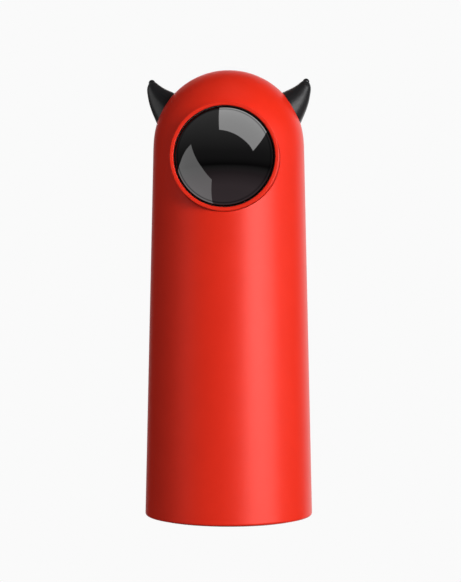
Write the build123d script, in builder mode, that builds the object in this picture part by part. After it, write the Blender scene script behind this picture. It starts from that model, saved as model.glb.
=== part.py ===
from build123d import *
from math import acos, cos, degrees, pi, radians, sin, sqrt, tan
import os

# An upright toy that sweeps a laser dot over the floor. It stands on its foot pad: the
# origin is the centre of the pad's lower face, +Z is up and the window looks along -Y.
# All sizes are in millimetres and degrees.

# ---- outer shell: a drafted tube that a slack shoulder arc leads into a dome
shell_height = 200.4  # top of the dome above the floor
shell_rim_z = 0.6  # the lower rim clears the floor by this much
shell_wall = 2.2
shell_draft = 1.24  # lean of the wall, from the vertical
neck_radius = 34.0  # outer radius where the wall meets the shoulder arc
shoulder_arc = 60.0  # radius of the shoulder arc
dome_step = 0.15  # how much smaller the dome's radius is than the neck's
rim_round = 1.2
quarter_turn = 90.0  # from the dome's equator to its top

# ---- clearances
seat_gap = 0.05  # round piece fixed in its hole, per side
running_gap = 0.05  # shaft that turns in its hole, per side
loose_gap = 0.3  # pieces that pass each other, per side
slide_gap = 1.0  # the chassis and the bosses that it slides past
thrust_gap = 0.2  # end float of a turning piece

# ---- screws
small_shank = 0.8
large_shank = 1.2
head_ratio = 1.9  # head radius over shank radius
head_height_ratio = 1.2  # head height over shank radius
recess_ratio = 0.55  # drive recess depth over head height
recess_width_ratio = 0.25  # drive recess width over head radius
head_round_ratio = 0.33  # rounding of the head over its height

# ---- window: bezel, gasket and smoked dome, round an axis along Y
window_drop = 42.1  # window axis below the top of the dome
bezel_radius = 23.5
bezel_wall = 1.5
bezel_proud = 1.6  # bezel's front face ahead of the neck radius
bezel_bead = 0.7  # rounding of the bezel's front edges
ledge_width = 2.1  # inner ledge that the dome window sits on
ledge_thickness = 1.5
ledge_depth = 5.1  # ledge's front face behind the bezel's front face
bezel_flange = 2.3  # flange beyond the bezel's tube
flange_thickness = 1.5
boss_rear_y = -17.5  # rear face of the shell's window boss
gasket_thickness = 0.6
gasket_recess = 1.6  # gasket's front edge behind the bezel's front face
lens_sphere = 31.0
lens_wall = 1.8
lens_recess = 0.6  # edge of the lens behind the bezel's front face
lens_edge_round = 1.8

# ---- horns: soft cones, each held by a stem pushed through the dome
horn_depth_ratio = 0.9  # thickness front to back over width
horn_stem_radius = 4.0
horn_stem_angle = 30.5  # direction of the stem above the horizontal
horn_flange_radius = 5.5
horn_flange_thickness = 1.5
horn_tip_radius = 1.5
# centre of each section as (x, height over the dome's centre), half width, lean above horizontal
horn_sections = [
    (26.48, 15.23, 9.1, 32.9),
    (28.37, 17.14, 8.04, 31.0),
    (32.39, 22.12, 5.28, 37.6),
    (34.33, 25.77, 3.41, 46.7),
    (35.06, 27.92, 2.21, 57.0),
    (34.83, 28.76, horn_tip_radius, 75.0),
]

# ---- base
foot_radius = 34.0
foot_thickness = 1.6
base_thickness = 2.5
ballast_thickness = 4.0
screw_boss_radius = 3.2
screw_boss_inset = 1.9  # gap between a screw boss and the shell's wall
screw_boss_height = 18.0
screw_boss_rib = 4.0
base_screw_length = 9.0
base_screw_count = 3

# ---- chassis
chassis_floor = 2.0
spine_thickness = 2.5
column_radius = 2.5
column_x = 17.0
column_y = -15.0
rear_post_radius = 3.0
rear_post_x = 14.0
rear_post_height = 12.0
chassis_post_x = 16.0
chassis_post_y = 3.0
chassis_post_radius = 3.0
chassis_post_height = 8.0
chassis_screw_length = 12.0
deck_drop = 36.3  # underside of the deck below the window axis
deck_thickness = 2.5
deck_screw_length = 8.0
lead_slot_width = 31.0
lead_slot_height = 5.0
lead_slot_drop = 12.0  # slot's upper edge below the deck

# ---- battery
battery_radius = 9.2
battery_length = 65.0
battery_y = 4.4
battery_nub_radius = 3.0
battery_nub = 0.8
holder_wall = 1.9
holder_side_wall = 1.6
holder_clearance = 0.2
holder_z = 14.0
contact_plate = 0.4
contact_dome = 0.8
contact_size = 9.0
contact_corner = 1.1

# ---- main board and what it carries
standoff = 2.0
standoff_radius = 2.2
board_thickness = 1.6
board_width = 34.0
board_bottom = 26.0  # lower edge above the floor
board_drop = 18.0  # top edge below the deck
board_screw_inset = 3.0
board_screw_length = 5.0
chip_size = 7.0
chip_thickness = 1.0
driver_size = 5.0
driver_thickness = 1.5
plug_width = 5.0
plug_height = 4.0
plug_depth = 3.4
led_width = 1.6
led_height = 0.8
led_drop = 2.0  # LED below the board's top edge

# ---- power button, at the back
button_drop = 16.0  # button axis below the LED
button_radius = 6.0
button_gap = 0.3
button_flange = 1.8
button_flange_thickness = 1.2
button_stem_radius = 2.0
button_travel = 0.7
button_end_gap = 0.1  # left over at each end of the travel
button_round = 0.8
button_sink = 0.1  # face below the crown of the wall
button_spot_depth = 0.9  # flat round the button below the crown of the wall
button_spot_radius = 7.6
guide_radius = 8.3
guide_length = 2.85  # guide tube beyond the wall's inside
switch_size = 6.0
switch_height = 3.4
switch_plunger_radius = 1.7
switch_plunger = 0.4

# ---- light pipe
pipe_radius = 1.5
pipe_flange = 1.1
pipe_flange_thickness = 1.0
pipe_flange_inset = 0.45

# ---- charging port and its board
port_width = 8.94
port_height = 3.26
port_length = 7.35
port_wall = 0.3
port_cavity = 6.2
port_tongue_width = 6.65
port_tongue_height = 0.7
port_tongue_length = 4.45
port_inset = 0.35  # socket's mouth behind the inside of the wall
port_pocket_width = 13.0
port_pocket_height = 7.2
port_pocket_depth = 1.2
port_opening_gap = 0.4
charge_board_z = 12.2
charge_board_thickness = 1.2
charge_board_width = 18.0
charge_board_inset = 2.0  # board's edge behind the socket's mouth
charge_post_radius = 2.0
charge_post_x = 6.0
charge_post_inset = 2.3
lead_radius = 0.6
lead_bend = 1.5
lead_spacing = 1.6

# ---- gears
gear_module = 0.5
gear_pressure = 25.0
gear_backlash = 0.1  # taken off each tooth at the pitch circle
tooth_tip = 0.4
tooth_root = 0.525
tooth_merge = 0.3  # how far a tooth reaches into its root disc
flank_steps = 4
pinion_teeth = 12
wheel_teeth = 40
sector_teeth = 11

# ---- pan stage
pan_y = -4.0
spindle_radius = 3.0
spindle_tail = 4.0  # spindle below the deck
bush_wall = 1.5
bush_flange = 1.5
bush_flange_thickness = 0.8
bush_tail = 1.4
clip_thickness = 0.8
clip_wall = 1.6
clip_groove = 0.5
clip_mouth = 3.2
pan_wheel_thickness = 3.0
pan_hub_radius = 8.0
pan_hub_height = 0.6
pan_motor_radius = 7.5
pan_motor_height = 12.0
pan_ear_thickness = 0.8
pan_ear_radius = 2.4
pan_ear_reach = 10.0
pan_ear_angle = 110.0
pan_pilot_radius = 2.5
pan_shaft_radius = 0.75
shaft_seat = 1.5  # depth of a motor shaft inside its motor
pinion_height = 2.7

# ---- yoke and tilt stage
yoke_inner = 10.5
yoke_wall = 2.0
yoke_arm_half = 4.5
yoke_floor = 2.0
yoke_screw_x = 5.5
yoke_screw_length = 4.5
trunnion_radius = 1.5
cradle_radius = 4.6
cradle_half_width = 5.5
cradle_front = 6.0
cradle_rear = 6.0
sector_x = 7.5
sector_thickness = 2.0
sector_hub_radius = 3.4
tilt_motor_radius = 5.0
tilt_motor_length = 10.0
tilt_plate_thickness = 1.0
tilt_ear_reach = 7.5
tilt_ear_radius = 1.9
tilt_shaft_radius = 0.5
tilt_pinion_width = 2.2

# ---- laser module
laser_radius = 3.0
laser_front = 8.5
laser_rear = 6.5
laser_bore = 2.0
laser_lens_thickness = 1.5
laser_lens_recess = 0.5
laser_board_thickness = 1.0
laser_board_radius = 2.9
diode_radius = 1.2
diode_height = 1.5

# ---- worked out from the sizes above
draft = radians(shell_draft)
dome_radius = neck_radius - dome_step
shoulder_end = acos((shoulder_arc * cos(draft) - neck_radius) / (shoulder_arc - dome_radius))
dome_z = shell_height - dome_radius
shoulder_centre_x = neck_radius - shoulder_arc * cos(draft)
shoulder_centre_z = dome_z - (shoulder_arc - dome_radius) * sin(shoulder_end)
shoulder_z = shoulder_centre_z + shoulder_arc * sin(draft)
pinion_pitch = gear_module * pinion_teeth / 2
wheel_pitch = gear_module * wheel_teeth / 2
gear_distance = pinion_pitch + wheel_pitch


def wall_radius(z, inset=0.0):
    """Radius at height z of the tube's wall, moved inwards by inset."""
    return neck_radius + (shoulder_z - z) * tan(draft) - inset / cos(draft)


window_z = shell_height - window_drop
bezel_front_y = -neck_radius - bezel_proud
bezel_bore = bezel_radius - bezel_wall
ledge_y = bezel_front_y + ledge_depth
lens_radius = bezel_bore - gasket_thickness
lens_edge_y = bezel_front_y + lens_recess
lens_centre_y = lens_edge_y + sqrt(lens_sphere**2 - lens_radius**2)
boss_radius = bezel_radius + bezel_flange
stem_direction = (cos(radians(horn_stem_angle)), 0, sin(radians(horn_stem_angle)))
stem_plane_distance = sqrt((dome_radius - shell_wall) ** 2 - horn_flange_radius**2) - seat_gap

base_z = foot_thickness
base_top = base_z + base_thickness
ballast_top = base_top + ballast_thickness
floor_top = ballast_top + chassis_floor
base_radius = wall_radius(base_top, shell_wall) - loose_gap / 2
screw_circle = wall_radius(base_top, shell_wall) - screw_boss_inset - screw_boss_radius
chassis_radius = screw_circle - screw_boss_radius - slide_gap
base_screw_angles = [-90 + 360 * i / base_screw_count for i in range(base_screw_count)]
base_screw_spots = [
    (screw_circle * cos(radians(angle)), screw_circle * sin(radians(angle)))
    for angle in base_screw_angles
]
chassis_screw_spots = [(chassis_post_x, chassis_post_y), (-chassis_post_x, chassis_post_y)]

deck_z = window_z - deck_drop
deck_top = deck_z + deck_thickness
holder_back_y = battery_y + battery_radius + holder_clearance
spine_y = holder_back_y + holder_wall
spine_back_y = spine_y + spine_thickness
spine_half_width = sqrt(chassis_radius**2 - spine_back_y**2) - loose_gap
rear_post_y = spine_y + spine_thickness / 2
column_spots = [(column_x, column_y), (-column_x, column_y)]
rear_post_spots = [(rear_post_x, rear_post_y), (-rear_post_x, rear_post_y)]
deck_screw_spots = column_spots + rear_post_spots
lead_slot_z = deck_z - lead_slot_drop - lead_slot_height / 2

board_y = spine_back_y + standoff
board_back_y = board_y + board_thickness
board_top = deck_z - board_drop
board_height = board_top - board_bottom
board_z = board_bottom + board_height / 2
board_screw_x = board_width / 2 - board_screw_inset
board_screw_z = board_height / 2 - board_screw_inset
board_screw_spots = [
    (x, z)
    for x in (-board_screw_x, board_screw_x)
    for z in (board_z - board_screw_z, board_z + board_screw_z)
]
led_z = board_top - led_drop
button_z = led_z - button_drop
button_wall_y = wall_radius(button_z)
button_face_y = button_wall_y - button_sink
guide_y = wall_radius(button_z, shell_wall) - guide_length
button_flange_y = guide_y - button_end_gap
switch_top_y = board_back_y + switch_height + switch_plunger
button_stem_y = switch_top_y + button_travel + button_end_gap
pipe_wall_y = wall_radius(led_z, shell_wall)

holder_bottom = holder_z
contact_height = contact_plate + contact_dome
battery_z = holder_bottom + holder_wall + contact_height
holder_top = battery_z + battery_length + contact_height + holder_wall
holder_half_width = battery_radius + holder_clearance + holder_side_wall

port_z = charge_board_z + charge_board_thickness + port_height / 2
port_mouth_y = wall_radius(port_z, shell_wall) - port_inset
port_rear_y = port_mouth_y - port_length
charge_board_y = spine_back_y + loose_gap
charge_board_end = port_mouth_y - charge_board_inset
charge_post_y = charge_board_y + charge_post_inset

bush_radius = spindle_radius + running_gap + bush_wall
pan_wheel_z = deck_top + bush_flange_thickness + thrust_gap
pan_wheel_top = pan_wheel_z + pan_wheel_thickness
yoke_z = pan_wheel_top + pan_hub_height
yoke_floor_top = yoke_z + yoke_floor
clip_z = deck_z - bush_tail - thrust_gap - clip_thickness
spindle_bottom = deck_z - spindle_tail
pan_motor_x = -gear_distance
ear_offset = (
    pan_ear_reach * cos(radians(pan_ear_angle)),
    pan_ear_reach * sin(radians(pan_ear_angle)),
)
pan_ear_spots = [
    (pan_motor_x + side * ear_offset[0], pan_y + side * ear_offset[1]) for side in (1, -1)
]
tilt_motor_z = window_z - gear_distance
tilt_ear_spots = [(pan_y, tilt_motor_z + side * tilt_ear_reach) for side in (1, -1)]
yoke_outer = yoke_inner + yoke_wall


def front_plane(y, z):
    """Plane at depth y and height z that faces the front; its local axes are X and Z."""
    return Plane(origin=(0, y, z), x_dir=(1, 0, 0), z_dir=(0, -1, 0))


def back_plane(y, x=0.0, z=0.0):
    """Plane at depth y that faces the back, with its centre over (x, z)."""
    return Plane(origin=(x, y, z), x_dir=(-1, 0, 0), z_dir=(0, 1, 0))


def side_plane(x, y=pan_y, z=window_z):
    """Plane at x that faces +X, centred on (y, z); its local axes are Y and Z."""
    return Plane(origin=(x, y, z), x_dir=(0, 1, 0), z_dir=(1, 0, 0))


def half_outline(inset):
    """Face of half of the shell's upright section, moved inwards by inset."""
    arc_radius = shoulder_arc - inset
    top_radius = dome_radius - inset
    wall_top = (
        shoulder_centre_x + arc_radius * cos(draft),
        shoulder_centre_z + arc_radius * sin(draft),
    )
    wall_foot = (wall_radius(shell_rim_z, inset), shell_rim_z)
    shoulder_start = degrees(draft)
    dome_start = degrees(shoulder_end)
    with BuildSketch(mode=Mode.PRIVATE) as outline:
        with BuildLine():
            Line(wall_foot, wall_top)
            CenterArc(
                (shoulder_centre_x, shoulder_centre_z), arc_radius, shoulder_start,
                dome_start - shoulder_start,
            )
            CenterArc((0, dome_z), top_radius, dome_start, quarter_turn - dome_start)
            Line((0, dome_z + top_radius), (0, shell_rim_z))
            Line((0, shell_rim_z), wall_foot)
        make_face()
    return outline.sketch


def involute(angle):
    """Involute function of an angle in radians."""
    return tan(angle) - angle


def tooth_face(teeth):
    """Face of one gear tooth on +X: involute flanks, with radial ones below the base circle."""
    pressure = radians(gear_pressure)
    pitch_radius = gear_module * teeth / 2
    base_circle = pitch_radius * cos(pressure)
    tip_radius = pitch_radius + tooth_tip
    flank_start = max(base_circle, pitch_radius - tooth_root)
    foot_circle = pitch_radius - tooth_root - tooth_merge
    pitch_half_angle = (pi * gear_module / 2 - gear_backlash) / 2 / pitch_radius

    def flank_point(radius):
        """Point of the upper flank at one radius."""
        roll = involute(acos(min(1.0, base_circle / radius)))
        half_angle = pitch_half_angle + involute(pressure) - roll
        return (radius * cos(half_angle), radius * sin(half_angle))

    rise = (tip_radius - flank_start) / flank_steps
    upper = [flank_point(flank_start + rise * i) for i in range(flank_steps + 1)]
    lower = [(x, -y) for x, y in reversed(upper)]
    scale = foot_circle / flank_start
    upper_foot = (upper[0][0] * scale, upper[0][1] * scale)
    lower_foot = (upper_foot[0], -upper_foot[1])
    with BuildSketch(mode=Mode.PRIVATE) as tooth:
        with BuildLine():
            Line(upper_foot, upper[0])
            Spline(*upper)
            Line(upper[-1], lower[0])
            Spline(*lower)
            Line(lower[-1], lower_foot)
            Line(lower_foot, upper_foot)
        make_face()
    return tooth.sketch


def screw_form(shank_radius, length):
    """Pan-head screw with a cross recess: the head's underside is at z=0, the shank below it."""
    head_radius = shank_radius * head_ratio
    head_height = shank_radius * head_height_ratio
    with BuildPart(mode=Mode.PRIVATE) as screw:
        with BuildSketch(Plane.XY):
            Circle(head_radius)
        extrude(amount=head_height)
        fillet(screw.edges().group_by(Axis.Z)[-1], head_height * head_round_ratio)
        with BuildSketch(Plane.XY.offset(head_height)):
            Rectangle(head_radius, head_radius * recess_width_ratio)
            Rectangle(head_radius * recess_width_ratio, head_radius)
        extrude(amount=-head_height * recess_ratio, mode=Mode.SUBTRACT)
        with BuildSketch(Plane.XY):
            Circle(shank_radius)
        extrude(amount=-length)
        chamfer(screw.edges().group_by(Axis.Z)[0], shank_radius / 2)
    return screw.part


def lead_pair(points):
    """Two round leads side by side along X that follow the points with rounded corners."""
    with BuildPart(mode=Mode.PRIVATE) as pair:
        for side in (-1, 1):
            shift = side * lead_spacing / 2
            with BuildLine() as route:
                FilletPolyline(*[(x + shift, y, z) for x, y, z in points], radius=lead_bend)
            with BuildSketch(Plane(origin=route.line @ 0, z_dir=route.line % 0)):
                Circle(lead_radius)
            sweep(path=route.line)
    return pair.part


pinion_tooth = tooth_face(pinion_teeth)
wheel_tooth = tooth_face(wheel_teeth)
pinion_phase = 180 / pinion_teeth  # puts a space, not a tooth, on the local X axis


# ---- the shell's outer form, whole, to trim what is built against it
with BuildPart() as shell_form:
    with BuildSketch(Plane.XZ):
        add(half_outline(0))
    revolve(axis=Axis.Z)

with BuildPart() as window_boss:
    with BuildSketch(front_plane(boss_rear_y, window_z)):
        Circle(boss_radius)
    extrude(amount=neck_radius)
    add(shell_form.part, mode=Mode.INTERSECT)

with BuildPart() as button_guide:
    with BuildSketch(back_plane(guide_y, z=button_z)):
        Circle(guide_radius)
    extrude(amount=neck_radius)
    add(shell_form.part, mode=Mode.INTERSECT)

with BuildPart() as screw_bosses:
    with BuildSketch(Plane.XY.offset(base_top)):
        rib_length = wall_radius(base_top) - shell_wall / 2 - screw_circle
        for (x, y), angle in zip(base_screw_spots, base_screw_angles):
            with Locations((x, y)):
                Circle(screw_boss_radius)
            with Locations(Location((x, y, 0), (0, 0, angle))):
                Rectangle(rib_length, screw_boss_rib, align=(Align.MIN, Align.CENTER))
    extrude(amount=screw_boss_height)
    add(shell_form.part, mode=Mode.INTERSECT)

with BuildPart() as outer_shell:
    add(shell_form.part)
    fillet(outer_shell.edges().group_by(Axis.Z)[0], rim_round)
    with BuildSketch(Plane.XZ):
        add(half_outline(shell_wall))
    revolve(axis=Axis.Z, mode=Mode.SUBTRACT)
    add(window_boss.part)
    add(button_guide.part)
    add(screw_bosses.part)
    with BuildSketch(front_plane(boss_rear_y, window_z)):
        Circle(bezel_radius + seat_gap)
    extrude(amount=neck_radius, mode=Mode.SUBTRACT)
    with BuildSketch(back_plane(guide_y, z=button_z)):
        Circle(button_radius + button_gap)
    extrude(amount=neck_radius, mode=Mode.SUBTRACT)
    with BuildSketch(back_plane(button_wall_y - button_spot_depth, z=button_z)):
        Circle(button_spot_radius)
    extrude(amount=button_spot_radius, mode=Mode.SUBTRACT)
    with BuildSketch(back_plane(pipe_wall_y - slide_gap, z=led_z)):
        Circle(pipe_radius + seat_gap)
    extrude(amount=neck_radius, mode=Mode.SUBTRACT)
    with BuildSketch(back_plane(port_mouth_y, z=port_z)):
        SlotOverall(port_width + 2 * port_opening_gap, port_height + 2 * port_opening_gap)
    extrude(amount=neck_radius, mode=Mode.SUBTRACT)
    with BuildSketch(back_plane(wall_radius(port_z) - port_pocket_depth, z=port_z)):
        SlotOverall(port_pocket_width, port_pocket_height)
    extrude(amount=neck_radius, mode=Mode.SUBTRACT)
    for side in (1, -1):
        horn_way = (side * stem_direction[0], 0, stem_direction[2])
        with BuildSketch(Plane(origin=(0, 0, dome_z), z_dir=horn_way)):
            Circle(horn_stem_radius + seat_gap)
        extrude(amount=neck_radius + shell_wall, mode=Mode.SUBTRACT)
    with BuildSketch(Plane.XY.offset(base_top)):
        with Locations(*base_screw_spots):
            Circle(large_shank + seat_gap)
    extrude(amount=base_screw_length, mode=Mode.SUBTRACT)

# ---- window
with BuildPart() as window_bezel:
    with BuildSketch(Plane.XY.offset(window_z)):
        with BuildLine():
            Polyline(
                (bezel_bore, bezel_front_y),
                (bezel_radius, bezel_front_y),
                (bezel_radius, boss_rear_y),
                (boss_radius, boss_rear_y),
                (boss_radius, boss_rear_y + flange_thickness),
                (bezel_bore, boss_rear_y + flange_thickness),
                (bezel_bore, ledge_y + ledge_thickness),
                (bezel_bore - ledge_width, ledge_y + ledge_thickness),
                (bezel_bore - ledge_width, ledge_y),
                (bezel_bore, ledge_y),
                close=True,
            )
        make_face()
    revolve(axis=Axis((0, 0, window_z), (0, 1, 0)))
    fillet(window_bezel.edges().group_by(Axis.Y)[0], bezel_bead)

with BuildPart() as window_gasket:
    with BuildSketch(front_plane(ledge_y, window_z)):
        Circle(bezel_bore - seat_gap / 2)
        Circle(lens_radius + seat_gap / 2, mode=Mode.SUBTRACT)
    extrude(amount=ledge_depth - gasket_recess)

with BuildPart() as dome_window:
    with BuildSketch(Plane.XY.offset(window_z)):
        with BuildLine():
            edge_angle = -degrees(acos(lens_radius / lens_sphere))
            CenterArc((0, lens_centre_y), lens_sphere, -90, edge_angle + 90)
            Line((lens_radius, lens_edge_y), (lens_radius, ledge_y))
            Line((lens_radius, ledge_y), (lens_radius - lens_wall, ledge_y))
            inner_radius = lens_radius - lens_wall
            inner_sphere = lens_sphere - lens_wall
            inner_edge_y = lens_centre_y - sqrt(inner_sphere**2 - inner_radius**2)
            Line((inner_radius, ledge_y), (inner_radius, inner_edge_y))
            inner_angle = -degrees(acos(inner_radius / inner_sphere))
            CenterArc((0, lens_centre_y), inner_sphere, -90, inner_angle + 90)
            Line((0, lens_centre_y - inner_sphere), (0, lens_centre_y - lens_sphere))
        make_face()
    revolve(axis=Axis((0, 0, window_z), (0, 1, 0)))
    rim_edges = dome_window.edges().filter_by(GeomType.CIRCLE).filter_by(
        lambda edge: abs(edge.radius - lens_radius) < seat_gap and edge.center().Y < ledge_y - seat_gap
    )
    fillet(rim_edges, lens_edge_round)

# ---- horns
with BuildPart() as horn_left:
    for x, z, half_width, lean in horn_sections:
        way = (-cos(radians(lean)), 0, sin(radians(lean)))
        with BuildSketch(Plane(origin=(-x, 0, dome_z + z), x_dir=(0, 1, 0), z_dir=way)):
            Ellipse(half_width * horn_depth_ratio, half_width)
    loft()
    tip_x, tip_z = horn_sections[-1][:2]
    with Locations((-tip_x, 0, dome_z + tip_z)):
        Sphere(horn_tip_radius)
    add(shell_form.part, mode=Mode.SUBTRACT)
    stem_way = (-stem_direction[0], 0, stem_direction[2])
    stem_plane = Plane(origin=(0, 0, dome_z), z_dir=stem_way).offset(stem_plane_distance)
    with BuildSketch(stem_plane):
        Circle(horn_stem_radius)
    extrude(amount=dome_radius - stem_plane_distance + seat_gap)
    with BuildSketch(stem_plane):
        Circle(horn_flange_radius)
    extrude(amount=-horn_flange_thickness)

with BuildPart() as horn_right:
    add(mirror(horn_left.part, about=Plane.YZ))

# ---- base
with BuildPart() as foot_pad:
    with BuildSketch(Plane.XY):
        Circle(foot_radius)
        with Locations(*base_screw_spots):
            Circle(large_shank * head_ratio + loose_gap, mode=Mode.SUBTRACT)
    extrude(amount=foot_thickness)

base_head_depth = large_shank * head_height_ratio
with BuildPart() as base_cover:
    with BuildSketch(Plane.XY.offset(base_z)):
        Circle(base_radius)
    extrude(amount=base_thickness)
    with BuildSketch(Plane.XY.offset(base_z)):
        with Locations(*base_screw_spots, *chassis_screw_spots):
            Circle(large_shank + loose_gap)
    extrude(amount=base_thickness, mode=Mode.SUBTRACT)
    with BuildSketch(Plane.XY.offset(base_z)):
        with Locations(*base_screw_spots, *chassis_screw_spots):
            Circle(large_shank * head_ratio + loose_gap)
    extrude(amount=base_head_depth, mode=Mode.SUBTRACT)

head_seat_z = base_z + base_head_depth
base_screw = screw_form(large_shank, base_screw_length)
with BuildPart() as base_screws:
    for x, y in base_screw_spots:
        with Locations(Plane(origin=(x, y, head_seat_z), z_dir=(0, 0, -1))):
            add(base_screw)

with BuildPart() as ballast_plate:
    with BuildSketch(Plane.XY.offset(base_top)):
        Circle(chassis_radius)
        with Locations(*chassis_screw_spots):
            Circle(large_shank + loose_gap, mode=Mode.SUBTRACT)
    extrude(amount=ballast_thickness)

chassis_screw = screw_form(large_shank, chassis_screw_length)
with BuildPart() as chassis_screws:
    for x, y in chassis_screw_spots:
        with Locations(Plane(origin=(x, y, head_seat_z), z_dir=(0, 0, -1))):
            add(chassis_screw)

# ---- chassis: floor, upright spine, columns and posts in one moulding
with BuildPart() as chassis:
    with BuildSketch(Plane.XY.offset(ballast_top)):
        Circle(chassis_radius)
    extrude(amount=chassis_floor)
    with BuildSketch(Plane.XY.offset(floor_top)):
        with Locations((0, spine_y + spine_thickness / 2)):
            Rectangle(2 * spine_half_width, spine_thickness)
        with Locations(*column_spots):
            Circle(column_radius)
    extrude(amount=deck_z - floor_top)
    with BuildSketch(Plane.XY.offset(deck_z)):
        with Locations(*rear_post_spots):
            Circle(rear_post_radius)
    extrude(amount=-rear_post_height)
    with BuildSketch(Plane.XY.offset(floor_top)):
        with Locations(*chassis_screw_spots):
            Circle(chassis_post_radius)
    extrude(amount=chassis_post_height)
    with BuildSketch(Plane.XY.offset(floor_top)):
        with Locations((charge_post_x, charge_post_y), (-charge_post_x, charge_post_y)):
            Circle(charge_post_radius)
    extrude(amount=charge_board_z - floor_top)
    with BuildSketch(back_plane(spine_back_y)):
        with Locations(*[(-x, z) for x, z in board_screw_spots]):
            Circle(standoff_radius)
    extrude(amount=standoff)
    with BuildSketch(back_plane(spine_y)):
        with Locations(*[(-x, z) for x, z in board_screw_spots]):
            Circle(small_shank + seat_gap)
    extrude(amount=spine_thickness + standoff, mode=Mode.SUBTRACT)
    with BuildSketch(back_plane(spine_y, z=lead_slot_z)):
        SlotOverall(lead_slot_width, lead_slot_height)
    extrude(amount=spine_thickness, mode=Mode.SUBTRACT)
    with BuildSketch(Plane.XY.offset(deck_z)):
        with Locations(*deck_screw_spots):
            Circle(large_shank + seat_gap)
    extrude(amount=-deck_screw_length, mode=Mode.SUBTRACT)
    with BuildSketch(Plane.XY.offset(ballast_top)):
        with Locations(*chassis_screw_spots):
            Circle(large_shank + seat_gap)
    extrude(amount=chassis_screw_length, mode=Mode.SUBTRACT)

with BuildPart() as pan_deck:
    with BuildSketch(Plane.XY.offset(deck_z)):
        Circle(chassis_radius)
        with Locations(*deck_screw_spots):
            Circle(large_shank + loose_gap, mode=Mode.SUBTRACT)
        with Locations((0, pan_y)):
            Circle(bush_radius, mode=Mode.SUBTRACT)
        with Locations((pan_motor_x, pan_y)):
            Circle(pan_pilot_radius + seat_gap, mode=Mode.SUBTRACT)
        with Locations(*pan_ear_spots):
            Circle(small_shank + seat_gap, mode=Mode.SUBTRACT)
    extrude(amount=deck_thickness)

deck_screw = screw_form(large_shank, deck_screw_length)
with BuildPart() as deck_screws:
    for x, y in deck_screw_spots:
        with Locations((x, y, deck_top)):
            add(deck_screw)

# ---- battery
with BuildPart() as battery_holder:
    with BuildSketch(Plane.XY.offset(holder_bottom)):
        with Locations((0, battery_y)):
            Rectangle(2 * holder_half_width, battery_radius, align=(Align.CENTER, Align.MIN))
        with Locations((0, holder_back_y)):
            Rectangle(2 * holder_half_width, holder_wall, align=(Align.CENTER, Align.MIN))
    extrude(amount=holder_top - holder_bottom)
    with BuildSketch(Plane.XY.offset(holder_bottom)):
        with Locations((0, battery_y)):
            Circle(holder_half_width)
    extrude(amount=holder_wall)
    with BuildSketch(Plane.XY.offset(holder_top)):
        with Locations((0, battery_y)):
            Circle(holder_half_width)
    extrude(amount=-holder_wall)
    with BuildSketch(Plane.XY.offset(holder_bottom + holder_wall)):
        with Locations((0, battery_y)):
            Circle(battery_radius + holder_clearance)
    extrude(amount=battery_length + 2 * contact_height, mode=Mode.SUBTRACT)

with BuildPart() as battery_cell:
    with BuildSketch(Plane.XY.offset(battery_z)):
        with Locations((0, battery_y)):
            Circle(battery_radius)
    extrude(amount=battery_length - battery_nub)
    fillet(battery_cell.edges().group_by(Axis.Z)[-1], battery_nub)
    with BuildSketch(Plane.XY.offset(battery_z + battery_length)):
        with Locations((0, battery_y)):
            Circle(battery_nub_radius)
    extrude(amount=-2 * battery_nub)

with BuildPart() as battery_contacts:
    for plate_z, side in ((holder_bottom + holder_wall, 1), (holder_top - holder_wall, -1)):
        with BuildSketch(Plane.XY.offset(plate_z)):
            with Locations((0, battery_y)):
                RectangleRounded(contact_size, contact_size, contact_corner)
        extrude(amount=side * contact_plate)
        with BuildSketch(Plane.XY.offset(plate_z + side * contact_plate)):
            with Locations((0, battery_y)):
                Circle(battery_nub_radius)
        extrude(amount=side * contact_dome)

# ---- main board
with BuildPart() as main_board:
    with BuildSketch(back_plane(board_y, z=board_z)):
        RectangleRounded(board_width, board_height, board_screw_inset / 2)
    extrude(amount=board_thickness)
    with BuildSketch(back_plane(board_y)):
        with Locations(*[(-x, z) for x, z in board_screw_spots]):
            Circle(small_shank + loose_gap / 2)
    extrude(amount=board_thickness, mode=Mode.SUBTRACT)

board_screw = screw_form(small_shank, board_screw_length)
with BuildPart() as board_screws:
    for x, z in board_screw_spots:
        with Locations(Plane(origin=(x, board_back_y, z), z_dir=(0, 1, 0))):
            add(board_screw)

plug_x = board_width / 4 - lead_spacing
upper_plug_z = led_z - 2 * pipe_radius - plug_height / 2
lower_plug_z = board_bottom + 2 * board_screw_inset + plug_height / 2
chip_room = button_z - switch_size / 2 - lower_plug_z - plug_height / 2
chip_spacing = (chip_room - chip_size - driver_size) / 3
chip_z = button_z - (switch_size + chip_size) / 2 - chip_spacing
driver_z = chip_z - (chip_size + driver_size) / 2 - chip_spacing
with BuildPart() as board_parts:
    with BuildSketch(back_plane(board_back_y, z=chip_z)):
        Rectangle(chip_size, chip_size)
    extrude(amount=chip_thickness)
    with BuildSketch(back_plane(board_back_y, z=driver_z)):
        with GridLocations(2 * driver_size, 1, 2, 1):
            Rectangle(driver_size, driver_size)
    extrude(amount=driver_thickness)
    with BuildSketch(back_plane(board_back_y)):
        with Locations(
            (plug_x, upper_plug_z), (-pan_motor_x, upper_plug_z), (plug_x, lower_plug_z)
        ):
            Rectangle(plug_width, plug_height)
    extrude(amount=plug_depth)

with BuildPart() as tact_switch:
    with BuildSketch(back_plane(board_back_y, z=button_z)):
        Rectangle(switch_size, switch_size)
    extrude(amount=switch_height)
    with BuildSketch(back_plane(board_back_y + switch_height, z=button_z)):
        Circle(switch_plunger_radius)
    extrude(amount=switch_plunger)

with BuildPart() as status_led:
    with BuildSketch(back_plane(board_back_y, z=led_z)):
        Rectangle(led_width, led_height)
    extrude(amount=led_height)

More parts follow.
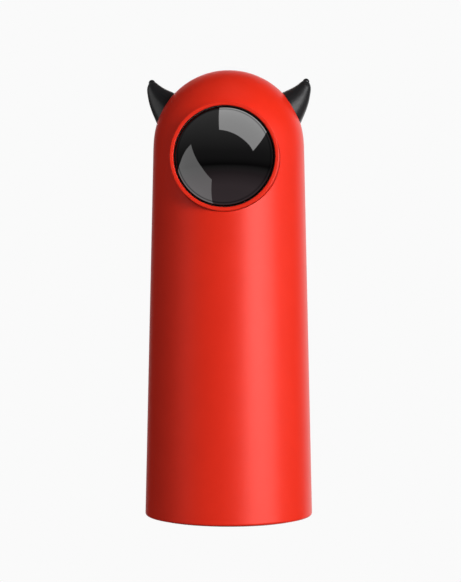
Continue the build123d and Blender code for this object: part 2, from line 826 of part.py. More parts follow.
with BuildPart() as light_pipe:
    with BuildSketch(back_plane(board_back_y + led_height + loose_gap, z=led_z)):
        Circle(pipe_radius)
    extrude(amount=wall_radius(led_z) - board_back_y - led_height - loose_gap)
    with BuildSketch(back_plane(pipe_wall_y - pipe_flange_inset, z=led_z)):
        Circle(pipe_radius + pipe_flange)
    extrude(amount=-pipe_flange_thickness)
    fillet(light_pipe.edges().group_by(Axis.Y)[-1], pipe_radius / 2)

# ---- power button
with BuildPart() as power_button:
    with BuildSketch(back_plane(button_flange_y, z=button_z)):
        Circle(button_radius)
    extrude(amount=button_face_y - button_flange_y)
    fillet(power_button.edges().group_by(Axis.Y)[-1], button_round)
    with BuildSketch(back_plane(button_flange_y, z=button_z)):
        Circle(button_radius + button_flange)
    extrude(amount=-button_flange_thickness)
    with BuildSketch(back_plane(button_stem_y, z=button_z)):
        Circle(button_stem_radius)
    extrude(amount=button_flange_y - button_stem_y)

# ---- charging port
with BuildPart() as charge_board:
    with BuildSketch(Plane.XY.offset(charge_board_z)):
        with Locations((0, charge_board_y)):
            Rectangle(
                charge_board_width, charge_board_end - charge_board_y,
                align=(Align.CENTER, Align.MIN),
            )
    extrude(amount=charge_board_thickness)

charge_plug_y = board_back_y + plug_depth / 2
charge_board_top = charge_board_z + charge_board_thickness
with BuildPart() as charge_plug:
    with BuildSketch(Plane.XY.offset(charge_board_top)):
        with Locations((-plug_x, charge_plug_y)):
            Rectangle(plug_width, plug_depth)
    extrude(amount=plug_height)

with BuildPart() as usb_socket:
    with BuildSketch(back_plane(port_rear_y, z=port_z)):
        SlotOverall(port_width, port_height)
    extrude(amount=port_length)
    with BuildSketch(back_plane(port_mouth_y, z=port_z)):
        SlotOverall(port_width - 2 * port_wall, port_height - 2 * port_wall)
    extrude(amount=-port_cavity, mode=Mode.SUBTRACT)
    with BuildSketch(back_plane(port_mouth_y - port_cavity, z=port_z)):
        Rectangle(port_tongue_width, port_tongue_height)
    extrude(amount=port_tongue_length)

# ---- leads that the housing holds
lead_y = charge_plug_y
lead_spine_y = rear_post_y - rear_post_radius - lead_radius - loose_gap
with BuildPart() as charge_lead:
    lead_start = charge_board_top + plug_height
    lead_end = lower_plug_z - plug_height / 2
    lead_bulge = (lead_end - lead_start) / 4
    add(
        lead_pair(
            [
                (-plug_x, lead_y, lead_start),
                (-plug_x, lead_y, lead_start + lead_bulge),
                (-plug_x, lead_y + lead_bulge, (lead_start + lead_end) / 2),
                (-plug_x, lead_y, lead_end - lead_bulge),
                (-plug_x, lead_y, lead_end),
            ]
        )
    )

with BuildPart() as battery_leads:
    add(
        lead_pair(
            [
                (-plug_x, battery_y, holder_top),
                (-plug_x, battery_y, lead_slot_z),
                (-plug_x, lead_y, lead_slot_z),
                (-plug_x, lead_y, upper_plug_z + plug_height / 2),
            ]
        )
    )

motor_lead_z = deck_z - pan_motor_height / 2
with BuildPart() as pan_motor_lead:
    add(
        lead_pair(
            [
                (pan_motor_x, pan_y + pan_motor_radius, motor_lead_z),
                (pan_motor_x, lead_spine_y, motor_lead_z),
                (pan_motor_x, lead_spine_y, lead_slot_z),
                (pan_motor_x, lead_y, lead_slot_z),
                (pan_motor_x, lead_y, upper_plug_z + plug_height / 2),
            ]
        )
    )

# ---- pan stage
with BuildPart() as pan_motor:
    with BuildSketch(Plane.XY.offset(deck_z)):
        with Locations((pan_motor_x, pan_y)):
            Circle(pan_motor_radius)
    extrude(amount=-pan_motor_height)
    with BuildSketch(Plane.XY.offset(deck_z)):
        with Locations(Location((pan_motor_x, pan_y, 0), (0, 0, pan_ear_angle))):
            SlotOverall(2 * (pan_ear_reach + pan_ear_radius), 2 * pan_ear_radius)
    extrude(amount=-pan_ear_thickness)
    with BuildSketch(Plane.XY.offset(deck_z)):
        with Locations((pan_motor_x, pan_y)):
            Circle(pan_pilot_radius)
    extrude(amount=deck_thickness)
    with BuildSketch(Plane.XY.offset(deck_top)):
        with Locations((pan_motor_x, pan_y)):
            Circle(pan_shaft_radius + running_gap)
    extrude(amount=-deck_thickness - shaft_seat, mode=Mode.SUBTRACT)
    with BuildSketch(Plane.XY.offset(deck_z)):
        with Locations(*pan_ear_spots):
            Circle(small_shank + loose_gap / 2)
    extrude(amount=-pan_ear_thickness, mode=Mode.SUBTRACT)

pan_motor_screw = screw_form(small_shank, pan_ear_thickness + deck_thickness)
with BuildPart() as pan_motor_screws:
    for x, y in pan_ear_spots:
        with Locations(Plane(origin=(x, y, deck_z - pan_ear_thickness), z_dir=(0, 0, -1))):
            add(pan_motor_screw)

pinion_top = pan_wheel_z + pinion_height
with BuildPart() as pan_motor_shaft:
    with BuildSketch(Plane.XY.offset(deck_z - shaft_seat + thrust_gap)):
        with Locations((pan_motor_x, pan_y)):
            Circle(pan_shaft_radius)
    extrude(amount=pinion_top - deck_z + shaft_seat - thrust_gap)

with BuildPart() as pan_pinion:
    with BuildSketch(Plane(origin=(pan_motor_x, pan_y, pan_wheel_z))):
        Circle(pinion_pitch - tooth_root)
        with PolarLocations(0, pinion_teeth, start_angle=pinion_phase):
            add(pinion_tooth)
        Circle(pan_shaft_radius, mode=Mode.SUBTRACT)
    extrude(amount=pinion_height)

with BuildPart() as pan_bush:
    with BuildSketch(Plane.XY.offset(deck_z - bush_tail)):
        with Locations((0, pan_y)):
            Circle(bush_radius)
    extrude(amount=bush_tail + deck_thickness)
    with BuildSketch(Plane.XY.offset(deck_top)):
        with Locations((0, pan_y)):
            Circle(bush_radius + bush_flange)
    extrude(amount=bush_flange_thickness)
    with BuildSketch(Plane.XY.offset(deck_z - bush_tail)):
        with Locations((0, pan_y)):
            Circle(spindle_radius + running_gap)
    extrude(amount=bush_tail + deck_thickness + bush_flange_thickness, mode=Mode.SUBTRACT)

with BuildPart() as pan_wheel:
    with BuildSketch(Plane(origin=(0, pan_y, pan_wheel_z))):
        Circle(wheel_pitch - tooth_root)
        with PolarLocations(0, wheel_teeth):
            add(wheel_tooth)
    extrude(amount=pan_wheel_thickness)
    with BuildSketch(Plane(origin=(0, pan_y, pan_wheel_top))):
        Circle(pan_hub_radius)
    extrude(amount=pan_hub_height)
    with BuildSketch(Plane(origin=(0, pan_y, spindle_bottom))):
        Circle(spindle_radius)
    extrude(amount=pan_wheel_z - spindle_bottom)
    with BuildSketch(Plane(origin=(0, pan_y, clip_z))):
        Circle(spindle_radius)
        Circle(spindle_radius - clip_groove, mode=Mode.SUBTRACT)
    extrude(amount=clip_thickness, mode=Mode.SUBTRACT)
    with BuildSketch(Plane(origin=(0, pan_y, yoke_z))):
        with GridLocations(2 * yoke_screw_x, 1, 2, 1):
            Circle(small_shank + seat_gap)
    extrude(amount=-(yoke_screw_length - yoke_floor), mode=Mode.SUBTRACT)

with BuildPart() as spindle_clip:
    with BuildSketch(Plane(origin=(0, pan_y, clip_z))):
        Circle(spindle_radius + clip_wall)
        Circle(spindle_radius - clip_groove, mode=Mode.SUBTRACT)
        Rectangle(
            clip_mouth, 2 * (spindle_radius + clip_wall), align=(Align.CENTER, Align.MIN),
            mode=Mode.SUBTRACT,
        )
    extrude(amount=clip_thickness)

# ---- yoke
with BuildPart() as yoke:
    with BuildSketch(Plane(origin=(0, pan_y, yoke_z))):
        Rectangle(2 * yoke_outer, 2 * yoke_arm_half)
        with GridLocations(2 * yoke_screw_x, 1, 2, 1):
            Circle(small_shank + loose_gap / 2, mode=Mode.SUBTRACT)
    extrude(amount=yoke_floor)
    for arm_x in (-yoke_outer, yoke_inner):
        with BuildSketch(side_plane(arm_x)):
            Circle(yoke_arm_half)
            Rectangle(2 * yoke_arm_half, window_z - yoke_z, align=(Align.CENTER, Align.MAX))
            Circle(trunnion_radius + running_gap, mode=Mode.SUBTRACT)
        extrude(amount=yoke_wall)
    with BuildSketch(side_plane(-yoke_outer, 0, 0)):
        with Locations(*tilt_ear_spots):
            Circle(small_shank + seat_gap)
    extrude(amount=yoke_wall, mode=Mode.SUBTRACT)

yoke_screw = screw_form(small_shank, yoke_screw_length)
with BuildPart() as yoke_screws:
    for x in (-yoke_screw_x, yoke_screw_x):
        with Locations((x, pan_y, yoke_floor_top)):
            add(yoke_screw)

# ---- tilt drive: the motor hangs between the arms and reaches across to the sector
with BuildPart() as tilt_motor:
    with BuildSketch(side_plane(-yoke_inner, z=tilt_motor_z)):
        Circle(tilt_motor_radius)
    extrude(amount=tilt_motor_length)
    with BuildSketch(side_plane(-yoke_inner, z=tilt_motor_z)):
        SlotOverall(2 * (tilt_ear_reach + tilt_ear_radius), 2 * tilt_ear_radius, rotation=90)
    extrude(amount=tilt_plate_thickness)
    with BuildSketch(side_plane(-yoke_inner, 0, 0)):
        with Locations(*tilt_ear_spots):
            Circle(small_shank + seat_gap)
    extrude(amount=tilt_plate_thickness, mode=Mode.SUBTRACT)
    with BuildSketch(side_plane(tilt_motor_length - yoke_inner, z=tilt_motor_z)):
        Circle(tilt_shaft_radius + running_gap)
    extrude(amount=-shaft_seat, mode=Mode.SUBTRACT)

tilt_motor_screw = screw_form(small_shank, yoke_wall + tilt_plate_thickness)
with BuildPart() as tilt_motor_screws:
    for y, z in tilt_ear_spots:
        with Locations(Plane(origin=(-yoke_outer, y, z), z_dir=(-1, 0, 0))):
            add(tilt_motor_screw)

tilt_pinion_end = sector_x + tilt_pinion_width
tilt_shaft_start = tilt_motor_length - yoke_inner - shaft_seat + thrust_gap
with BuildPart() as tilt_motor_shaft:
    with BuildSketch(side_plane(tilt_shaft_start, z=tilt_motor_z)):
        Circle(tilt_shaft_radius)
    extrude(amount=tilt_pinion_end - tilt_shaft_start)

with BuildPart() as tilt_pinion:
    with BuildSketch(side_plane(sector_x, z=tilt_motor_z)):
        Circle(pinion_pitch - tooth_root)
        with PolarLocations(0, pinion_teeth, start_angle=pinion_phase):
            add(pinion_tooth)
        Circle(tilt_shaft_radius, mode=Mode.SUBTRACT)
    extrude(amount=tilt_pinion_width)

sector_step = 360 / wheel_teeth
sector_spread = sector_step * (sector_teeth - 1)
sector_edge = radians(sector_spread / 2 + sector_step / 2)
sector_reach = 2 * wheel_pitch  # the wedge that cuts the segment ends well beyond the wheel
with BuildPart() as tilt_sector:
    with BuildSketch(side_plane(sector_x)):
        Circle(wheel_pitch - tooth_root)
        with BuildLine():
            Polyline(
                (0, 0),
                (-sector_reach * sin(sector_edge), -sector_reach * cos(sector_edge)),
                (sector_reach * sin(sector_edge), -sector_reach * cos(sector_edge)),
                close=True,
            )
        make_face(mode=Mode.INTERSECT)
        Circle(sector_hub_radius)
        with PolarLocations(
            0, sector_teeth, start_angle=-90 - sector_spread / 2, angular_range=sector_spread,
            endpoint=True,
        ):
            add(wheel_tooth)
        Circle(trunnion_radius, mode=Mode.SUBTRACT)
    extrude(amount=sector_thickness)
    with BuildSketch(side_plane(cradle_half_width)):
        Circle(sector_hub_radius)
        Circle(trunnion_radius, mode=Mode.SUBTRACT)
    extrude(amount=sector_x - cradle_half_width)

with BuildPart() as laser_cradle:
    with BuildSketch(front_plane(pan_y + cradle_rear, window_z)):
        Circle(cradle_radius)
        Rectangle(2 * cradle_half_width, cradle_radius)
    extrude(amount=cradle_front + cradle_rear)
    with BuildSketch(side_plane(-yoke_outer)):
        Circle(trunnion_radius)
    extrude(amount=2 * yoke_outer)
    with BuildSketch(front_plane(pan_y + cradle_rear, window_z)):
        Circle(laser_radius)
    extrude(amount=cradle_front + cradle_rear, mode=Mode.SUBTRACT)

laser_front_y = pan_y - laser_front
laser_rear_y = pan_y + laser_rear
lens_rear = laser_lens_thickness + laser_lens_recess
with BuildPart() as laser_barrel:
    with BuildSketch(front_plane(laser_rear_y, window_z)):
        Circle(laser_radius)
    extrude(amount=laser_front + laser_rear)
    with BuildSketch(front_plane(laser_front_y, window_z)):
        Circle(laser_bore)
    extrude(amount=-lens_rear, mode=Mode.SUBTRACT)

with BuildPart() as laser_lens:
    with BuildSketch(front_plane(laser_front_y + laser_lens_recess, window_z)):
        Circle(laser_bore)
    extrude(amount=-laser_lens_thickness)

with BuildPart() as laser_board:
    with BuildSketch(front_plane(laser_rear_y, window_z)):
        Circle(laser_board_radius)
    extrude(amount=-laser_board_thickness)
    with BuildSketch(front_plane(laser_rear_y + laser_board_thickness, window_z)):
        Circle(diode_radius)
    extrude(amount=-diode_height)

pieces = {
    "outer_shell": outer_shell,
    "window_bezel": window_bezel,
    "window_gasket": window_gasket,
    "dome_window": dome_window,
    "horn_left": horn_left,
    "horn_right": horn_right,
    "foot_pad": foot_pad,
    "base_cover": base_cover,
    "base_screws": base_screws,
    "ballast_plate": ballast_plate,
    "chassis_screws": chassis_screws,
    "chassis": chassis,
    "pan_deck": pan_deck,
    "deck_screws": deck_screws,
    "battery_holder": battery_holder,
    "battery_cell": battery_cell,
    "battery_contacts": battery_contacts,
    "main_board": main_board,
    "board_screws": board_screws,
    "board_parts": board_parts,
    "tact_switch": tact_switch,
    "status_led": status_led,
    "light_pipe": light_pipe,
    "power_button": power_button,
    "charge_board": charge_board,
    "charge_plug": charge_plug,
    "usb_socket": usb_socket,
    "charge_lead": charge_lead,
    "battery_leads": battery_leads,
    "pan_motor_lead": pan_motor_lead,
    "pan_motor": pan_motor,
    "pan_motor_screws": pan_motor_screws,
    "pan_motor_shaft": pan_motor_shaft,
    "pan_pinion": pan_pinion,
    "pan_bush": pan_bush,
    "pan_wheel": pan_wheel,
    "spindle_clip": spindle_clip,
    "yoke": yoke,
    "yoke_screws": yoke_screws,
    "tilt_motor": tilt_motor,
    "tilt_motor_screws": tilt_motor_screws,
    "tilt_motor_shaft": tilt_motor_shaft,
    "tilt_pinion": tilt_pinion,
    "tilt_sector": tilt_sector,
    "laser_cradle": laser_cradle,
    "laser_barrel": laser_barrel,
    "laser_lens": laser_lens,
    "laser_board": laser_board,
}
os.makedirs("parts", exist_ok=True)
for name, piece in pieces.items():
    piece.part.label = name
    export_step(piece.part, f"parts/{name}.step")
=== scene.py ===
"""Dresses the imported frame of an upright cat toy: shell, window, horns, button and works."""

import logging
from dataclasses import dataclass, field
from enum import Enum
from math import atan2, radians
from typing import Sequence

import bmesh
import bpy
import numpy as np
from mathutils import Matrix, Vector


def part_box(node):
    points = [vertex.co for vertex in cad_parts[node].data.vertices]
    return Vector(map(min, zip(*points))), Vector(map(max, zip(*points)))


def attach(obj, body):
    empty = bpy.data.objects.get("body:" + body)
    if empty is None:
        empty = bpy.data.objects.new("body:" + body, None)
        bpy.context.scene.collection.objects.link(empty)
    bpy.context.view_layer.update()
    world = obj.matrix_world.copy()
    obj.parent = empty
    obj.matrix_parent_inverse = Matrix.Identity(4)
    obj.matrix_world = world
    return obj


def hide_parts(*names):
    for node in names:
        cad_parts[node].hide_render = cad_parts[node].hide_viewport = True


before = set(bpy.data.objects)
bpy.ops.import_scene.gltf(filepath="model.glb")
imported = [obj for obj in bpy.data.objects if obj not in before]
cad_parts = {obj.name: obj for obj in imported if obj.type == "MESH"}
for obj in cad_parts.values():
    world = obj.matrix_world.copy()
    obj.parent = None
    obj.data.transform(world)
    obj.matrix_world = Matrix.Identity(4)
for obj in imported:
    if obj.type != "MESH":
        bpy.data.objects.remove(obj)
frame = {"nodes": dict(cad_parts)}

log = logging.getLogger("cat_toy")
MM = 0.001
WELD = 0.0002 * MM
SHARP = radians(32)  # edges that turn by more than this stay sharp
ON_AXIS = 1e-9
HALF_STEP = 0.5
# most of a side that a round takes, and how far its guard points lie from it
ROUND_REACH, GUARD_SHARE, GUARD_REACH = 0.49, 0.5, 0.2
# broad noise against the grain's size, and octaves of the grain and of drawn lines
DRIFT, OCTAVES, DRAWN_OCTAVES = 30, 3.0, 4.0
Triple = tuple[float, float, float]
Colour = Triple


# ---------------------------------------------------------------- surfaces


@dataclass(frozen=True)
class Place:
    """A right-handed place: local +z is the way a turned piece faces."""

    origin: Triple
    x_axis: Triple
    z_axis: Triple

    def matrix(self) -> np.ndarray:
        """3x3 matrix whose rows are the local axes; z cross x gives the local y."""
        x = np.array(self.x_axis, float)
        z = np.array(self.z_axis, float)
        x = x / np.linalg.norm(x)
        z = z / np.linalg.norm(z)
        return np.array([x, np.cross(z, x), z])

    def points(self, local: np.ndarray) -> np.ndarray:
        """Local points in the row frame: origin + x*X + y*Y + z*Z."""
        return local @ self.matrix() + np.array(self.origin, float)


def facing_front(z: float) -> Place:
    """Place on the toy's axis at a height that faces the front."""
    return Place((0, 0, z), (1, 0, 0), (0, -1, 0))


def facing_back(z: float) -> Place:
    """Place on the toy's axis at a height that faces the back, with local +y upwards."""
    return Place((0, 0, z), (-1, 0, 0), (0, 1, 0))


@dataclass
class Surface:
    """Points and faces of one closed surface, in metres, in the row frame."""

    points: np.ndarray
    faces: list[np.ndarray] = field(default_factory=list)

    def placed(self, place: Place) -> "Surface":
        """The surface moved from local coordinates to a place."""
        return Surface(place.points(self.points), self.faces)

    def mesh(self, name: str) -> bpy.types.Mesh:
        """A Blender mesh of the surface, smooth but for its sharp edges."""
        mesh = bpy.data.meshes.new(name)
        faces = [face for block in self.faces for face in block.tolist()]
        mesh.from_pydata(self.points.tolist(), [], faces)
        mesh.validate()
        mesh.shade_smooth()
        mesh.set_sharp_from_angle(angle=SHARP)
        return mesh


def grid_faces(rows: int, columns: int, closed: bool = True) -> np.ndarray:
    """Quads between the rows of a grid of points numbered row by row.

    Args:
        rows: number of rows.
        columns: points in a row.
        closed: whether the last column joins the first.

    Returns:
        Quads (i,j) (i,j+1) (i+1,j+1) (i+1,j) as an n by 4 array.
    """
    spans = columns if closed else columns - 1
    i, j = np.meshgrid(np.arange(rows - 1), np.arange(spans), indexing="ij")
    k = (j + 1) % columns
    quads = [i * columns + j, i * columns + k, (i + 1) * columns + k, (i + 1) * columns + j]
    return np.stack([q.ravel() for q in quads], axis=1)


def capped_grid(rings: np.ndarray, first_pole: np.ndarray, last_pole: np.ndarray) -> Surface:
    """A closed surface of rings with one point at each end.

    Args:
        rings: points as rings by columns by 3. Seen from the first pole they run clockwise.
        first_pole: point that closes the first ring.
        last_pole: point that closes the last ring.

    Returns:
        The surface; quads join the rings and triangles fan to the poles.
    """
    rows, columns = rings.shape[:2]
    points = np.vstack([rings.reshape(-1, 3), first_pole, last_pole])
    j = np.arange(columns)
    k = (j + 1) % columns
    first = np.full(columns, rows * columns)
    last = first + 1
    base = (rows - 1) * columns
    fans = [np.stack([first, k, j], axis=1), np.stack([last, base + j, base + k], axis=1)]
    return Surface(points, [grid_faces(rows, columns), *fans])


def turned(profile: np.ndarray, segments: int, lead: float = 0.0) -> Surface:
    """A profile turned about the local z axis: (r cos t, r sin t, h) for t over a full turn.

    Args:
        profile: (radius, height) pairs from the lower pole, up the outside, to the upper pole;
            or a closed ring of pairs, counter-clockwise with radius to the right, if none is 0.
        segments: points round a turn.
        lead: share of a step by which the first point is turned on.

    Returns:
        The closed surface with its faces outwards.
    """
    turn = (np.arange(segments) + lead) * 2 * np.pi / segments
    radius, height = profile[:, 0:1], profile[:, 1:2]
    rings = np.stack(
        [radius * np.cos(turn), radius * np.sin(turn), np.broadcast_to(height, (len(profile), segments))],
        axis=2,
    )
    if profile[0, 0] < ON_AXIS and profile[-1, 0] < ON_AXIS:
        return capped_grid(rings[1:-1], rings[0, 0], rings[-1, 0])
    rows = len(profile)
    wrapped = grid_faces(rows + 1, segments) % (rows * segments)
    return Surface(rings.reshape(-1, 3), [wrapped])


def arc(centre: Sequence[float], radius: float, start: float, end: float, steps: int) -> np.ndarray:
    """Points centre + radius (cos a, sin a) for a from start to end, in radians."""
    a = np.linspace(start, end, steps + 1)
    return np.stack([centre[0] + radius * np.cos(a), centre[1] + radius * np.sin(a)], axis=1)


def rounded_line(corners: Sequence[Sequence[float]], steps: int = 6, closed: bool = False) -> np.ndarray:
    """A polyline whose corners are rounded, with a guard point on each side of every round.

    Args:
        corners: (radius, height, rounding) of each corner.
        steps: divisions of each round.
        closed: whether the last corner joins the first.

    Returns:
        (radius, height) pairs. A round of radius q at a corner with half angle h starts
        q / tan h along both sides and its centre is q / sin h along the bisector.
    """
    spots = np.array([c[:2] for c in corners], float)
    out: list[np.ndarray] = []
    count = len(corners)
    for i, (_, _, rounding) in enumerate(corners):
        inner = closed or 0 < i < count - 1
        if not inner or rounding <= 0:
            out.append(spots[i : i + 1])
            continue
        u = spots[i - 1] - spots[i]
        v = spots[(i + 1) % count] - spots[i]
        reach = min(np.linalg.norm(u), np.linalg.norm(v))
        u, v = u / np.linalg.norm(u), v / np.linalg.norm(v)
        half = np.arccos(np.clip(u @ v, -1, 1)) / 2
        run = min(rounding / np.tan(half), reach * ROUND_REACH)
        rounding = run * np.tan(half)
        centre = spots[i] + (u + v) / np.linalg.norm(u + v) * rounding / np.sin(half)
        start, end = spots[i] + u * run, spots[i] + v * run
        sweep = np.pi - 2 * half
        s = np.linspace(0, 1, steps + 1)[:, None]
        bend = np.sin((1 - s) * sweep) * (start - centre) + np.sin(s * sweep) * (end - centre)
        bend = bend / np.sin(sweep)
        guard = min(rounding * GUARD_SHARE, (reach - run) * GUARD_REACH)
        out += [(start + u * guard)[None], centre + bend, (end + v * guard)[None]]
    return np.vstack(out)


def prism(outline: np.ndarray, near: float, far: float) -> Surface:
    """A closed bar along the local z axis.

    Args:
        outline: corners of its section, counter-clockwise.
        near: where it starts.
        far: where it ends.

    Returns:
        The bar, with one face at each end.
    """
    count = len(outline)
    points = np.vstack([np.column_stack([outline, np.full(count, h)]) for h in (near, far)])
    j = np.arange(count)
    k = (j + 1) % count
    return Surface(points, [np.stack([j, k, k + count, j + count], axis=1), j[None, ::-1], j[None] + count])


def spline(knots: np.ndarray, values: np.ndarray, at: np.ndarray) -> np.ndarray:
    """Natural cubic spline through values at the knots.

    With second derivatives M from the usual tridiagonal system, each span is
    a y0 + b y1 + ((a^3 - a) M0 + (b^3 - b) M1) h^2 / 6 where a = (x1 - x) / h and b = 1 - a.

    Args:
        knots: increasing parameters, n of them.
        values: n by m values.
        at: parameters to work out.

    Returns:
        One row of m values for each parameter.
    """
    h = np.diff(knots)
    n = len(knots)
    system = np.eye(n)
    inner = np.arange(1, n - 1)
    system[inner, inner - 1] = h[:-1]
    system[inner, inner] = 2 * (h[:-1] + h[1:])
    system[inner, inner + 1] = h[1:]
    slope = np.diff(values, axis=0) / h[:, None]
    right = np.zeros_like(values)
    right[1:-1] = 6 * np.diff(slope, axis=0)
    bend = np.linalg.solve(system, right)
    span = np.clip(np.searchsorted(knots, at, side="right") - 1, 0, n - 2)
    width = h[span][:, None]
    b = ((at - knots[span]) / h[span])[:, None]
    a = 1 - b
    smooth = ((a**3 - a) * bend[span] + (b**3 - b) * bend[span + 1]) * width**2 / 6
    return a * values[span] + b * values[span + 1] + smooth


def new_object(name: str, data: bpy.types.ID) -> bpy.types.Object:
    """A new object of the given data, linked to the scene."""
    thing = bpy.data.objects.new(name, data)
    bpy.context.scene.collection.objects.link(thing)
    return thing


def in_scene(mesh: bpy.types.Mesh, look: "Look", body: str, *nodes: str) -> None:
    """Puts a mesh into the scene on a body, with its finish, in place of CAD nodes.

    Args:
        mesh: the finished mesh, in the row frame.
        look: what its surface is like.
        body: name of the CAD body it moves with.
        nodes: CAD nodes that it stands for.
    """
    piece = new_object(mesh.name, mesh)
    finish = look.value
    mesh.materials.clear()
    mesh.materials.append(finish.material())
    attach(piece, body)
    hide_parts(*nodes)
    log.info("%s: %d faces on %s", mesh.name, len(mesh.polygons), body)


def carved(mesh: bpy.types.Mesh, cutters: Sequence[Surface]) -> bpy.types.Mesh:
    """Cuts closed surfaces out of a mesh, and welds and shades what is left.

    Args:
        mesh: the closed mesh to work on.
        cutters: closed surfaces, in order.

    Returns:
        A new mesh.
    """
    work = new_object(mesh.name, mesh)
    helpers = []
    for cutter in cutters:
        helpers.append(new_object("tool", cutter.mesh("tool")))
        step = work.modifiers.new("carve", "BOOLEAN")
        step.operation = "DIFFERENCE"
        step.solver = "EXACT"
        step.object = helpers[-1]
    graph = bpy.context.evaluated_depsgraph_get()
    result = bpy.data.meshes.new_from_object(work.evaluated_get(graph))
    name = mesh.name
    for thing in [work, *helpers]:
        old = thing.data
        bpy.data.objects.remove(thing)
        bpy.data.meshes.remove(old)
    result.name = name
    welded = bmesh.new()
    welded.from_mesh(result)
    bmesh.ops.remove_doubles(welded, verts=welded.verts, dist=WELD)
    bmesh.ops.dissolve_degenerate(welded, edges=welded.edges, dist=WELD)
    welded.to_mesh(result)
    welded.free()
    result.shade_smooth()
    result.set_sharp_from_angle(angle=SHARP)
    return result


# ---------------------------------------------------------------- finishes


def lowest(node: str, axis: int) -> float:
    """Where a CAD node starts along an axis, in metres."""
    return float(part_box(node)[0][axis])


def highest(node: str, axis: int) -> float:
    """Where a CAD node ends along an axis, in metres."""
    return float(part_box(node)[1][axis])


def middle(node: str) -> float:
    """Height of a CAD node's middle in metres."""
    return (highest(node, 2) + lowest(node, 2)) / 2


def new_node(tree: bpy.types.NodeTree, kind: str, values: dict[str, object] | None = None) -> bpy.types.Node:
    """A new shader node in a tree, with constants on its own sockets.

    Args:
        tree: the node tree.
        kind: the node's type without its prefix.
        values: constants by socket name.

    Returns:
        The node.
    """
    node = tree.nodes.new("ShaderNode" + kind)
    for socket, value in (values or {}).items():
        node.inputs[socket].default_value = value
    return node


class Nodes:
    """A small helper that wires the node tree of one material."""

    def __init__(self, name: str) -> None:
        """Makes an empty material with a Principled shader.

        Args:
            name: the material's name.
        """
        self.material = bpy.data.materials.new(name)
        self.material.use_nodes = True
        self.tree = self.material.node_tree
        self.shader = self.tree.nodes["Principled BSDF"]
        self.place = self.tree.nodes.new("ShaderNodeTexCoord").outputs["Object"]

    def set(self, socket: str, value: float | Colour) -> None:
        """Sets a constant on the shader's own socket."""
        target = self.shader.inputs[socket]
        target.default_value = (*value, 1.0) if isinstance(value, tuple) else value

    def join(self, output: bpy.types.NodeSocket, socket: str) -> None:
        """Links an output to a socket of the shader."""
        self.tree.links.new(output, self.shader.inputs[socket])

    def stretched(self, scale: Triple) -> bpy.types.NodeSocket:
        """Object coordinates multiplied by a scale along each axis."""
        node = new_node(self.tree, "Mapping", {"Scale": scale})
        self.tree.links.new(self.place, node.inputs["Vector"])
        return node.outputs["Vector"]

    def noise(
        self, grain: float, detail: float, along: bpy.types.NodeSocket | None = None
    ) -> bpy.types.NodeSocket:
        """Noise with features about one grain across.

        Args:
            grain: feature size in metres.
            detail: octaves of finer noise.
            along: coordinates to read in place of the plain object ones.

        Returns:
            The noise value's socket.
        """
        node = new_node(self.tree, "TexNoise", {"Scale": 1 / grain, "Detail": detail})
        self.tree.links.new(along or self.place, node.inputs["Vector"])
        return node.outputs["Fac"]

    def spread(
        self, value: bpy.types.NodeSocket, low: float, high: float, start: float = 0.3, end: float = 0.7
    ) -> bpy.types.NodeSocket:
        """Maps start..end of a value to low..high, held at both ends."""
        limits = {"From Min": start, "From Max": end, "To Min": low, "To Max": high}
        node = new_node(self.tree, "MapRange", limits)
        self.tree.links.new(value, node.inputs["Value"])
        return node.outputs["Result"]

    def mix(self, amount: bpy.types.NodeSocket, first: Colour, second: Colour) -> bpy.types.NodeSocket:
        """A colour between two, by an amount from 0 to 1."""
        node = self.tree.nodes.new("ShaderNodeMix")
        node.data_type = "RGBA"
        node.inputs["A"].default_value = (*first, 1.0)
        node.inputs["B"].default_value = (*second, 1.0)
        self.tree.links.new(amount, node.inputs["Factor"])
        return node.outputs["Result"]

    def bump(self, height: bpy.types.NodeSocket, depth: float) -> None:
        """Bumps the surface by a height of 0 to 1 times a depth in metres."""
        node = new_node(self.tree, "Bump", {"Strength": 1.0, "Distance": depth})
        self.tree.links.new(height, node.inputs["Height"])
        self.tree.links.new(node.outputs["Normal"], self.shader.inputs["Normal"])


@dataclass(frozen=True)
class Finish:
    """A surface finish: slot, two close colours, roughness limits, and its grain's size and depth in mm."""

    slot: str
    light: Colour
    dark: Colour
    gloss: tuple[float, float]
    texture: tuple[float, float]

    @property
    def grain(self) -> float:
        """Size of the grain in metres."""
        return self.texture[0] * MM

    @property
    def depth(self) -> float:
        """Depth of the grain in metres."""
        return self.texture[1] * MM

    def material(self) -> bpy.types.Material:
        """The finish's material, made once."""
        made = bpy.data.materials.get(self.slot + "_finish")
        return made or self.made()

    def made(self) -> bpy.types.Material:
        """Builds the material: colour and roughness drift with broad noise, fine noise is the grain."""
        nodes = Nodes(self.slot + "_finish")
        broad = nodes.noise(self.grain * DRIFT, OCTAVES)
        fine = nodes.noise(self.grain, OCTAVES)
        nodes.join(nodes.mix(nodes.spread(broad, 0.0, 1.0), self.light, self.dark), "Base Color")
        nodes.join(nodes.spread(fine, *self.gloss), "Roughness")
        nodes.bump(fine, self.depth)
        self.tuned(nodes)
        return nodes.material

    def tuned(self, nodes: Nodes) -> None:
        """Sets what a kind of finish adds to the plain one; the plain one adds nothing."""


@dataclass(frozen=True)
class Metal(Finish):
    """A metal with fine lines along one axis."""

    lines: Triple = (1.0, 1.0, 12.0)

    def tuned(self, nodes: Nodes) -> None:
        """Makes it metallic, with lines drawn across by stretched noise."""
        nodes.set("Metallic", 1.0)
        drawn = nodes.noise(self.grain, DRAWN_OCTAVES, nodes.stretched(self.lines))
        nodes.join(nodes.spread(drawn, *self.gloss), "Roughness")
        nodes.bump(drawn, self.depth)


@dataclass(frozen=True)
class Polished(Finish):
    """A polished clear-coated plastic, smooth to the eye."""

    index: float = 1.5

    def tuned(self, nodes: Nodes) -> None:
        """Sets the index of refraction."""
        nodes.set("IOR", self.index)


